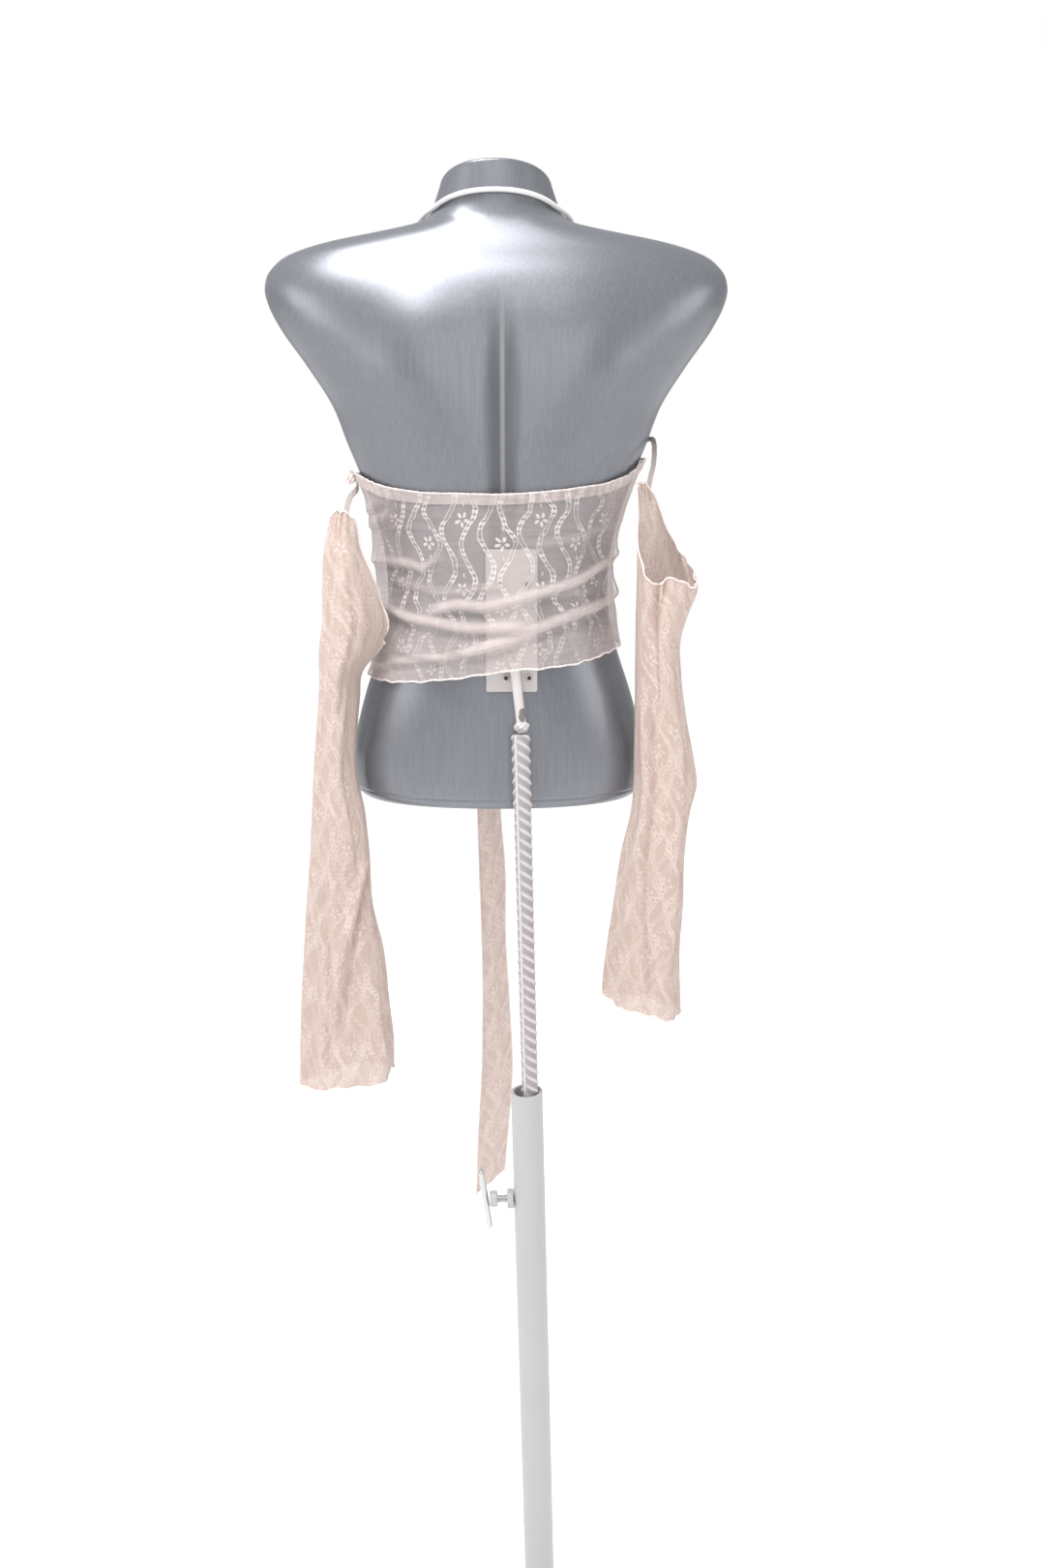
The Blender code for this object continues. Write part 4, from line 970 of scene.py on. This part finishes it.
def sleeve(shape, angle, share):
    """Points of a sleeve between its slanted cuff and its cut-out mouth.

    The mouth's height is a table by the angle. The cuff's is its foot less half its slope times
    1 + cos of the angle from its low side. A flute of count n adds depth * cos(n * angle + turn +
    twist * z) to the oval's radius. A crease is a bell of the arc's distance from its line, with a
    trough beside the bell. Fine gathers run down from the mouth.
    """
    foot, slope, low = shape["cuff"]
    rim = smooth(np.degrees(from_angle(angle, 0.0)), shape["mouth"]["angle"], shape["mouth"]["z"])
    rim = rim + 0.0010 * np.sin(5 * angle + 1) + 0.0007 * np.sin(11 * angle)
    base = foot - 0.5 * slope * (1 + np.cos(angle - math.radians(low)))
    base = base + 0.0016 * np.sin(4 * angle + 2) + 0.0008 * np.sin(13 * angle)
    z = base + (rim - base) * share
    oval = {name: smooth(z, shape["oval"]["z"], shape["oval"][name]) for name in ("x", "half", "deep")}
    ripple = 0.050 * np.sin(17 * angle + 2 * np.sin(3 * angle)) * ease((z - rim + 0.034) / 0.030)
    for count, depth, turn, twist in shape["flutes"]:
        ripple = ripple + depth * np.cos(count * angle + turn + twist * z)
    out = CLOTH
    for line, rise, half in shape["creases"]:
        line = np.array(line)
        from_line = from_angle(angle, np.radians(smooth(z, line[:, 0], line[:, 1])))
        s = from_line * 0.5 * (oval["half"] + oval["deep"]) / half
        fade = ease((np.minimum(z - line[0, 0], line[-1, 0] - z) + CREASE_FADE) / (2 * CREASE_FADE))
        out = out + rise * fade * (bell(s) - 0.8 * bell((s - 1.3) / 0.5))
    x = oval["x"] + (oval["half"] * (1 + ripple) + out) * np.cos(angle)
    y = SLEEVE_Y + (oval["deep"] * (1 + 1.6 * ripple) + out) * np.sin(angle)
    return joined(x, y, z) + FORM


def make_sleeve(name, shape):
    """The sleeve's cloth, with UV in metres, and its two bound rims."""
    angle, share = np.meshgrid(full_turn(190), np.linspace(0, 1, 270))
    points = sleeve(shape, angle, share)
    whole = np.concatenate((points, points[:, :1]), axis=1)
    uv = joined(along(whole, 1), along(whole, 0))
    cloth = dress(surface(name + "_cloth", points, uv, around=True), "form", sleeve_lace, "lace", name)
    rims = [edge_roll(name + place, whole[row], RIM_RADIUS)
            for place, row in (("_mouth_roll", -1), ("_cuff_roll", 0))]
    print(name, "cloth", round(area(whole), 4), "m2, cuff", metres(whole[0]), "m")
    return cloth, whole, rims


left_cloth, left_points, left_rims = make_sleeve("left_sleeve", LEFT)
right_cloth, right_points, right_rims = make_sleeve("right_sleeve", RIGHT)

# %% [markdown]
# ## The tie
# A long strip of the same lace hangs from the front. It is folded lengthwise, so it shows one raised
# middle fold, and its end is cut to a skewed point. It is a strip between two edges, bent by a cosine
# across its width.

# %% Front tie
TIE = table([
    (0.545, -0.0135, 0.033, 0.005, 4), (0.6, -0.0095, 0.0345, 0.005, 8),
    (0.673, -0.0053, 0.0345, 0.005, 6), (0.743, -0.0061, 0.0305, 0.005, -4),
    (0.834, -0.0088, 0.027, 0.005, -8), (0.9, -0.0095, 0.028, 0.005, 4),
    (0.965, -0.0122, 0.0245, 0.005, 12), (1.02, -0.0125, 0.024, 0.005, 8),
    (1.08, -0.01, 0.025, 0.005, 4), (1.135, -0.004, 0.027, 0.005, 0),
    (1.164, 0, 0.025, 0.0043, 0),
], "z x width off turn")
TIE_Y = 0.103
TIE_LEAVES_FORM = 1.050
TIE_ON_PANEL = (1.075, 1.135)
TIE_SLANT = 0.030
TIE_TIP = (0.600, 0.055)
TIE_FOLD, TIE_RIPPLE = 0.0014, 0.0005
TIE_ROLL = 0.0007


def tie_points(rows, columns):
    """The strip: its middle line, then across it from edge to edge with a fold between."""
    z = np.linspace(TIE["z"][0], TIE["z"][-1], rows)
    at = {name: smooth(z, TIE["z"], TIE[name]) for name in TIE}
    _, front = form_ring(np.maximum(z, TIE_LEAVES_FORM), np.full(rows, math.pi / 2))
    held = np.clip((z - TIE_ON_PANEL[0]) / (TIE_ON_PANEL[1] - TIE_ON_PANEL[0]), 0, 1)
    middle = joined(at["x"], (front + at["off"]) * held + TIE_Y * (1 - held) + CLOTH, z)
    turn = np.radians(at["turn"])
    wide = joined(np.cos(turn), np.sin(turn), 0)
    out = joined(-np.sin(turn), np.cos(turn), 0)
    s = np.linspace(1, -1, columns)[None, :, None]
    fold = TIE_FOLD * np.cos(math.pi * 1.5 * s + 5 * z[:, None, None])
    fold = fold + TIE_RIPPLE * np.sin(9 * s + 31 * z[:, None, None])
    points = middle[:, None] + 0.5 * at["width"][:, None, None] * s * wide[:, None]
    points = points + out[:, None] * (fold + CLOTH)
    tip = ease((TIE_TIP[0] - z) / TIE_TIP[1])[:, None] * 0.5 * (1 - s[..., 0])
    points[..., 2] = points[..., 2] - TIE_SLANT * tip
    return points + FORM


tie = tie_points(300, 44)
tie_uv = joined(along(tie, 1), along(tie, 0))
tie_cloth = dress(surface("tie_cloth", tie, tie_uv), "form", sleeve_lace, "lace", "front_tie")
tie_rolls = [edge_roll("tie_roll_left", tie[:, 0], TIE_ROLL, up=(0, 1, 0)),
             edge_roll("tie_roll_right", tie[:, -1], TIE_ROLL, up=(0, 1, 0)),
             edge_roll("tie_roll_end", tie[0], TIE_ROLL)]
print("tie", metres(tie[:, 20]), "m long")

# %% [markdown]
# ## Cord and straps
# A round covered elastic goes from one front corner round the neck to the other. Its route is a list
# of points, and each is dropped on to the form's skin, so that it lies on it all the way. The sleeves
# hang from short flat straps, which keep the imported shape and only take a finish. Where the left one
# leaves the band, the cloth is bunched in a small ruffle: an egg whose radius is waved both ways.

# %% Neck cord
CORD_RADIUS = 0.0020
CORD_CLEARANCE = 0.0006
CORD_ROUTE = np.array([
    (-0.07, 0.095, 1.403), (-0.0705, 0.085, 1.43), (-0.07, 0.07, 1.46),
    (-0.069, 0.05, 1.49), (-0.069, 0.041, 1.51), (-0.069, 0.023, 1.522),
    (-0.068, 0.004, 1.524), (-0.058, -0.02, 1.527), (-0.046, -0.036, 1.533),
    (-0.027, -0.048, 1.537), (0, -0.053, 1.5385), (0.027, -0.048, 1.537),
    (0.045, -0.036, 1.533), (0.056, -0.02, 1.5265), (0.066, 0.004, 1.524),
    (0.069, 0.023, 1.522), (0.069, 0.041, 1.51), (0.069, 0.05, 1.49),
    (0.07, 0.07, 1.46), (0.0705, 0.085, 1.43), (0.07, 0.095, 1.403),
])
skin_tree = BVHTree.FromObject(skin, bpy.context.evaluated_depsgraph_get())
spots = along(CORD_ROUTE, 0)
at = np.linspace(0, spots[-1], 170)
route = np.stack([smooth(at, spots, CORD_ROUTE[:, k]) for k in range(3)], axis=1) + FORM
resting = []
for point in route:
    near, normal, _, _ = skin_tree.find_nearest(Vector(point))
    resting.append(np.array(near) + np.array(normal) * (CORD_RADIUS + CORD_CLEARANCE))
resting = np.array(resting)
for _ in range(6):
    resting[1:-1] = 0.25 * resting[:-2] + 0.5 * resting[1:-1] + 0.25 * resting[2:]
cord = surface("neck_elastic", tube(resting, CORD_RADIUS, 12, up=(0.2, 0.1, 1.0)),
               tube_uv(resting, 12), around=True, ends=True)
dress(cord, "form", elastic, "elastic", "neck_cord")
print("neck cord", metres(resting), "m long")

# %% Straps and ruffle
RUFFLE_AT = np.array([-0.1335, -0.0095, 1.3085])
RUFFLE_HALF = (0.0044, 0.0036, 0.0062)
RUFFLE_WAVES = ((0.22, 5, 3), (0.13, 9, -6))

for strap in ("left_strap", "right_strap"):
    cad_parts[strap].data.materials.clear()
    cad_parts[strap].data.materials.append(strap_weave)
ruffle = wavy_egg(60, 40, RUFFLE_WAVES, RUFFLE_HALF) + FORM + RUFFLE_AT
solid("strap_ruffle", ruffle, "form", overlock, "lace")
print("ruffle", round(float(np.ptp(ruffle[..., 2])), 4), "m high")

# %% [markdown]
# ## Turned and rolled steel
# The pole leans a little to the left, so its pieces are made upright round their own axis and then
# leaned by one formula. A turned piece is a profile of radius and height carried round.

# %% Pole frame and turning
LEAN = math.radians(1.45)
TUBE_RADIUS = 0.015
TUBE_WALL = 0.003
TUBE_TOP = 0.747
BASE_RADIUS = 0.175
BASE_HEIGHT = 0.008
OUTER_EDGE, INNER_EDGE, BASE_EDGE = 0.0006, 0.0004, 0.0015
SEAT_GAP = 0.0003
AXIS = 0.0002


def leaned(points, lean=LEAN):
    """Turn points to the left about the base's middle, by the pole's lean unless another is given."""
    x, y, z = np.moveaxis(points, -1, 0)
    cos, sin = math.cos(lean), math.sin(lean)
    return joined(x * cos - z * sin, y, x * sin + z * cos)


def turned(profile, sides=96):
    """Carry a profile of (radius, height) round the upright axis."""
    profile = np.array(profile)
    return polar(profile[:, :1], full_turn(sides), profile[:, 1:])


def arc(middle, radius, start, end, steps=6):
    """Points of a profile round a corner, in degrees from the radius direction."""
    turn = np.radians(np.linspace(start, end, steps))
    return [(middle[0] + radius * math.cos(t), middle[1] + radius * math.sin(t)) for t in turn]


foot = BASE_HEIGHT + SEAT_GAP + TUBE_RADIUS * math.sin(LEAN)
inner = TUBE_RADIUS - TUBE_WALL
wall = [(inner, foot), (TUBE_RADIUS, foot)]
wall += [(TUBE_RADIUS, height) for height in np.linspace(foot + 0.002, TUBE_TOP - 0.002, 60)]
wall += arc((TUBE_RADIUS - OUTER_EDGE, TUBE_TOP - OUTER_EDGE), OUTER_EDGE, 0, 90)
wall += arc((inner + INNER_EDGE, TUBE_TOP - INNER_EDGE), INNER_EDGE, 90, 180)
wall += [(inner, height) for height in np.linspace(TUBE_TOP - 0.002, foot, 30)]
dress(surface("stand_pipe", leaned(turned(wall)), around=True), "stand", tube_paint, "painted_steel",
      "stand_tube")
disc = [(AXIS, 0.0)] + arc((BASE_RADIUS - BASE_EDGE, BASE_EDGE), BASE_EDGE, -90, 0)
disc += arc((BASE_RADIUS - BASE_EDGE, BASE_HEIGHT - BASE_EDGE), BASE_EDGE, 0, 90)
disc += [(radius, BASE_HEIGHT) for radius in np.linspace(BASE_RADIUS - 2 * BASE_EDGE, AXIS, 12)]
solid("base_disc", turned(disc, 160), "stand", tube_paint, "painted_steel", "stand_base")
print("pipe", round(TUBE_TOP - foot, 3), "m long")

# %% [markdown]
# ## The ribbed rod
# The rod is reinforcing bar. Two straight ribs run along it on opposite sides, and between them short
# ribs cross each half at a slant, thickest in their middle. The radius is a formula of the angle and
# the height, so one fine tube holds all of it.

# %% Ribbed rod
ROD_BOTTOM = 0.400
ROD_TOP = 1.087
ROD_CORE = 0.0074
ROD_SHIFT = 0.0031
RIB_PITCH = 0.0099
RIB_HEIGHT = 0.0012
RIB_SLANT = 0.0052
RIB_HALF = 0.0017
STRAIGHT_RIB = math.radians(-127)
STRAIGHT_HALF = 0.16


def rod_radius(angle, height):
    """The core, plus the higher of a straight rib and a slanting one.

    round_ is the angle from the straight rib. The slanting rib's ridge is where the height plus
    RIB_SLANT times round_ is a whole number of pitches and a half, and it fades out at both straight
    ribs.
    """
    round_ = from_angle(angle, STRAIGHT_RIB)
    straight = bell(np.sin(round_) / STRAIGHT_HALF)
    phase = (height + RIB_SLANT * np.abs(round_)) / RIB_PITCH + np.where(round_ > 0, 0.0, 0.5)
    from_ridge = (phase - np.floor(phase) - 0.5) * RIB_PITCH
    slanting = bell(from_ridge / RIB_HALF) * np.abs(np.sin(round_)) ** 0.45
    return ROD_CORE + RIB_HEIGHT * np.maximum(0.9 * straight, slanting)


angle, height = np.meshgrid(full_turn(72), np.linspace(ROD_BOTTOM, ROD_TOP, 690))
radius = rod_radius(angle, height)
rod_points = polar(radius, angle, height) + np.array([ROD_SHIFT, 0, 0])
rod = solid("ribbed_bar", leaned(rod_points), "pole", rod_paint, "rod_paint", "ribbed_rod")
# crest is 0 between the ribs and 1 on them; the rod's paint is darkened towards 0 as painted shade.
mark(rod, "crest", ease((radius - ROD_CORE) / (0.8 * RIB_HEIGHT)))
print("ribs", round((ROD_TOP - ROD_BOTTOM) / RIB_PITCH), "to a side")

# %% [markdown]
# ## Bracket
# A steel plate is screwed to the form's back. A thin pipe runs from it down to the rod, and a lump of
# weld joins pipe and rod under the paint. The plate is a rounded outline carried through its
# thickness.

# %% Plate, pipe and weld
PLATE = {"x": 0.0135, "width": 0.045, "low": 1.123, "high": 1.246, "thick": 0.004, "corner": 0.0020}
PIPE_RADIUS = 0.0043
PIPE_LOW = ROD_TOP + 0.0008
PIPE_HIGH = 1.150
PIPE_LEAN = math.radians(6.7)
PIPE_ASIDE = 0.0015
WELD_FROM_FOOT = np.array([-0.0008, 0.0, 0.0053])
WELD_HALF = (0.0064, 0.0058, 0.0052)
WELD_WAVES = ((0.10, 3, 4), (0.08, 7, -9))


def plate_face(z):
    """Distance of the plate's inner face behind the form's axis."""
    ends = smooth(np.array([PLATE["low"], PLATE["high"]]), FORM_LEVELS["z"], FORM_LEVELS["back"])
    share = (z - PLATE["low"]) / (PLATE["high"] - PLATE["low"])
    return ends[0] + (ends[1] - ends[0]) * share + 2 * SEAT_GAP


def plate_points():
    """Rings of a rounded rectangle, from the inner face to the outer, with softened edges."""
    corner = PLATE["corner"]
    half = 0.5 * PLATE["width"] - corner
    outline = []
    for x, z, start in ((half, PLATE["high"] - corner, 0), (-half, PLATE["high"] - corner, 90),
                        (-half, PLATE["low"] + corner, 180), (half, PLATE["low"] + corner, 270)):
        outline += arc((x, z), corner, start, start + 90)
    outline = np.array(outline)
    middle = np.array([0.0, 0.5 * (PLATE["low"] + PLATE["high"])])
    rings = []
    for depth, inset in ((0.0, 0.0006), (0.0, 0.0), (PLATE["thick"] - 0.0005, 0.0),
                         (PLATE["thick"] - 0.00015, 0.00015), (PLATE["thick"], 0.0005)):
        flat = middle + (outline - middle) * (1 - inset / np.abs(outline - middle).max(axis=0))
        y = -plate_face(flat[:, 1]) - depth
        rings.append(joined(PLATE["x"] + flat[:, 0], y, flat[:, 1]))
    return np.array(rings) + FORM


solid("bracket_back", plate_points(), "form", plate_paint, "painted_steel", "bracket_plate")
pipe_foot = FORM + np.array([-FORM[0] - ROD_TOP * math.tan(LEAN) + ROD_SHIFT + PIPE_ASIDE,
                             -plate_face(PLATE["low"]) - PLATE["thick"] - 2 * SEAT_GAP - PIPE_RADIUS,
                             PIPE_LOW])
rise = np.linspace(0, PIPE_HIGH - PIPE_LOW, 40)
pipe_line = pipe_foot + joined(-rise * math.tan(PIPE_LEAN), 0, rise)
solid("bracket_tube", tube(pipe_line, PIPE_RADIUS, 40, up=(0, 1, 0)), "form", pipe_paint,
      "painted_steel", "bracket_pipe")
weld = wavy_egg(56, 34, WELD_WAVES, WELD_HALF) + pipe_foot + WELD_FROM_FOOT
solid("weld_lump", weld, "form", weld_paint, "painted_steel")
print("bracket pipe leans", round(math.degrees(PIPE_LEAN), 1), "degrees")

# %% Screws of the plate
SCREW_HEAD = 0.0034
SCREW_RISE = 0.0020
RECESS = {"half": 0.0005, "reach": 0.0020, "depth": 0.0012}
# Radius within which the screw head's colour is painted shade, and the width of its soft edge.
RECESS_SHADE = {"within": 0.0016, "over": 0.0006}
PLATE_SCREWS = [(0.0039, 1.2173), (0.0263, 1.2173), (0.0086, 1.1355), (0.0289, 1.1355)]


def screw_head(x, z):
    """A low domed head with a cross recess: the recess is where the point lies near either bar."""
    angle, share = np.meshgrid(full_turn(48), np.linspace(0, 1, 22))
    across, up = SCREW_HEAD * share * np.cos(angle), SCREW_HEAD * share * np.sin(angle)
    dome = SCREW_RISE * np.sqrt(np.clip(1.02 - share**4, 0, 1))
    bar = np.minimum(np.abs(across), np.abs(up)) / RECESS["half"]
    reach = np.maximum(np.abs(across), np.abs(up)) / RECESS["reach"]
    dome = dome - RECESS["depth"] * ease(1.6 - bar) * ease((1.1 - reach) / 0.2)
    y = -plate_face(z) - PLATE["thick"] - SEAT_GAP - dome
    return joined(x + across, y, z + up)[::-1] + FORM


for count, (x, z) in enumerate(PLATE_SCREWS, start=1):
    head_points = screw_head(x, z)
    head = solid(f"bracket_screw_{count}", head_points, "form", screw_steel, "zinc", f"plate_screw_{count}")
    off_axis = np.linalg.norm(head_points[..., ::2] - FORM[::2] - np.array([x, z]), axis=-1)
    # crest is 0 at the recess and 1 outside it, so the middle of the head gets painted shade.
    mark(head, "crest", ease((off_axis - RECESS_SHADE["within"]) / RECESS_SHADE["over"]))
print(len(PLATE_SCREWS), "screws")

# %% [markdown]
# ## The clamp
# A nut is welded to the pipe, and a screw through it presses on the rod. A bar through the screw's
# head turns it by hand. The thread is a ridge whose place moves by one pitch in each turn.

# %% Clamp
CLAMP_HEIGHT = 0.635
NUT_RADIUS = 0.0092
NUT_LENGTH = 0.0060
NUT_BORE = 0.0040
NUT_FACE = 0.0085
NUT_EDGE = 0.0006
SCREW_RADIUS = 0.0037
SCREW_SHANK = 0.0095
HEAD_RADIUS = 0.0075
HEAD_LENGTH = 0.0074
BAR_RADIUS = 0.0030
BAR_LENGTH = 0.062
BAR_TILT = math.radians(6.0)
THREAD_PITCH = 0.00125
THREAD_DEPTH = 0.0006
ROD_FACE = ROD_SHIFT - ROD_CORE - RIB_HEIGHT - SEAT_GAP


def sideways(points):
    """Lay an upright piece along -X at the clamp's height, then lean it with the pole."""
    x, y, z = np.moveaxis(points, -1, 0)
    return leaned(joined(-z, y, x + CLAMP_HEIGHT))


nut_near = TUBE_RADIUS + SEAT_GAP
corner = full_turn(72)
hexagon = NUT_RADIUS * math.cos(math.pi / 6) / np.cos((corner + math.pi / 6) % (math.pi / 3) - math.pi / 6)
rings = []
for reach, place in ((NUT_BORE, 0.0), (NUT_FACE, 0.0), (NUT_RADIUS, NUT_EDGE),
                     (NUT_RADIUS, NUT_LENGTH - NUT_EDGE), (NUT_FACE, NUT_LENGTH),
                     (NUT_BORE, NUT_LENGTH), (NUT_BORE, 0.0)):
    rings.append(polar(np.minimum(hexagon, reach), corner, nut_near + place))
dress(surface("clamp_weld_nut", sideways(np.array(rings)), around=True), "stand", tube_paint,
      "painted_steel", "clamp_nut")
head_face = nut_near + NUT_LENGTH + SCREW_SHANK
angle, place = np.meshgrid(full_turn(40), np.linspace(-ROD_FACE, head_face, 220))
phase = place / THREAD_PITCH + angle / (2 * math.pi)
thread = np.abs((phase - np.floor(phase)) * 2 - 1)
radius = SCREW_RADIUS - 0.0001 - THREAD_DEPTH * thread * ease((place + ROD_FACE) / 0.002)
solid("clamp_thread", sideways(polar(radius, angle, place)), "clamp", zinc, "zinc", "clamp_screw")
cap = [(AXIS, head_face), (HEAD_RADIUS - 0.001, head_face)]
cap += arc((HEAD_RADIUS - 0.001, head_face + 0.001), 0.001, -90, 0)
cap += arc((HEAD_RADIUS - 0.0015, head_face + HEAD_LENGTH - 0.0015), 0.0015, 0, 90)
cap += [(AXIS, head_face + HEAD_LENGTH)]
solid("clamp_head", sideways(turned(cap, 72)), "clamp", tube_paint, "zinc")
bar_out = head_face + HEAD_LENGTH + SEAT_GAP
bar_out = bar_out + HEAD_RADIUS * math.tan(BAR_TILT) + BAR_RADIUS / math.cos(BAR_TILT)
half = 0.5 * BAR_LENGTH
rod_ends = arc((0.0, -half + BAR_RADIUS), BAR_RADIUS, -88, 0, 8)
rod_ends += [(BAR_RADIUS, t) for t in np.linspace(-half + 0.005, half - 0.005, 30)]
rod_ends += arc((0.0, half - BAR_RADIUS), BAR_RADIUS, 0, 88, 8)
bar = turned(rod_ends, 40)
tilted = leaned(bar, BAR_TILT) + np.array([-bar_out, 0, CLAMP_HEIGHT])
solid("clamp_handle", leaned(tilted), "clamp", zinc, "zinc", "clamp_bar")
print("thread turns", round(float(head_face + ROD_FACE) / THREAD_PITCH))

# %% [markdown]
# ## Areas of the cloth
# The area of each sheet is worked out from its points. The lace is stretched a little over the
# form and gathered a little in the sleeves.


for piece, points, held, carried, trims in (
        (back_cloth, back_points, "stretched", ["form_torso"], [back_hem, back_rim, left_seam, right_seam]),
        (front_cloth, front_points, "stretched", ["form_torso"], [front_hem, front_rim]),
        (band, band_points, "stretched", [back_cloth], []),
        (left_cloth, left_points, "hung", ["left_strap"], left_rims),
        (right_cloth, right_points, "hung", ["right_strap"], right_rims),
        (tie_cloth, tie, "hung", [front_cloth], tie_rolls)):
    cloth = area(points)

# %% [markdown]
# ## Floor and light
# The photograph is lit from above, in front of a plain white. The world shows white behind the object
# but lights it with less than half of that, so that the lamps can shape it. A broad lamp overhead
# gives the highlights along the shoulders, and two at the sides model the cloth. The floor is white
# paper that glows a little, so it meets the background without a line.

# %% Floor and lamps
WORLD_SHOWN = 1.0
WORLD_LIGHT = 0.48
LAMPS = (("overhead", (-0.45, -0.55, 2.75), 0.8, 30.0),
         ("left", (-1.9, -0.9, 1.75), 1.0, 8.5),
         ("right", (1.9, -0.8, 1.65), 1.0, 7.0),
         ("camera_side", (0.1, -2.6, 1.9), 1.8, 10.0))

paper = Finish("floor_paper", 0.95, Specular_IOR_Level=0.05, Base_Color=(0.90, 0.90, 0.90, 1.0),
               Emission_Color=(1.0, 1.0, 1.0, 1.0), Emission_Strength=0.72)
floor = surface("floor", turned([(9.0, -0.0002), (0.001, -0.0002)], 64), around=True)
floor.data.materials.append(paper.material)
world = bpy.data.worlds.new("studio")
world.use_nodes = True
background = world.node_tree.nodes["Background"]
background.inputs["Color"].default_value = (1.0, 1.0, 1.0, 1.0)
ray = world.node_tree.nodes.new("ShaderNodeLightPath")
strength = world.node_tree.nodes.new("ShaderNodeMapRange")
strength.inputs["To Min"].default_value = WORLD_LIGHT
strength.inputs["To Max"].default_value = WORLD_SHOWN
world.node_tree.links.new(ray.outputs["Is Camera Ray"], strength.inputs["Value"])
world.node_tree.links.new(strength.outputs["Result"], background.inputs["Strength"])
bpy.context.scene.world = world
bpy.context.scene.view_settings.view_transform = "Standard"
AIM = Vector((FORM[0], FORM[1], 1.20))
for name, place, size, watts in LAMPS:
    lamp_data = bpy.data.lights.new(name, "AREA")
    lamp_data.energy = watts
    lamp_data.size = size
    lamp = bpy.data.objects.new(name, lamp_data)
    lamp.location = place
    lamp.rotation_euler = (AIM - Vector(place)).to_track_quat("-Z", "Y").to_euler()
    bpy.context.scene.collection.objects.link(lamp)
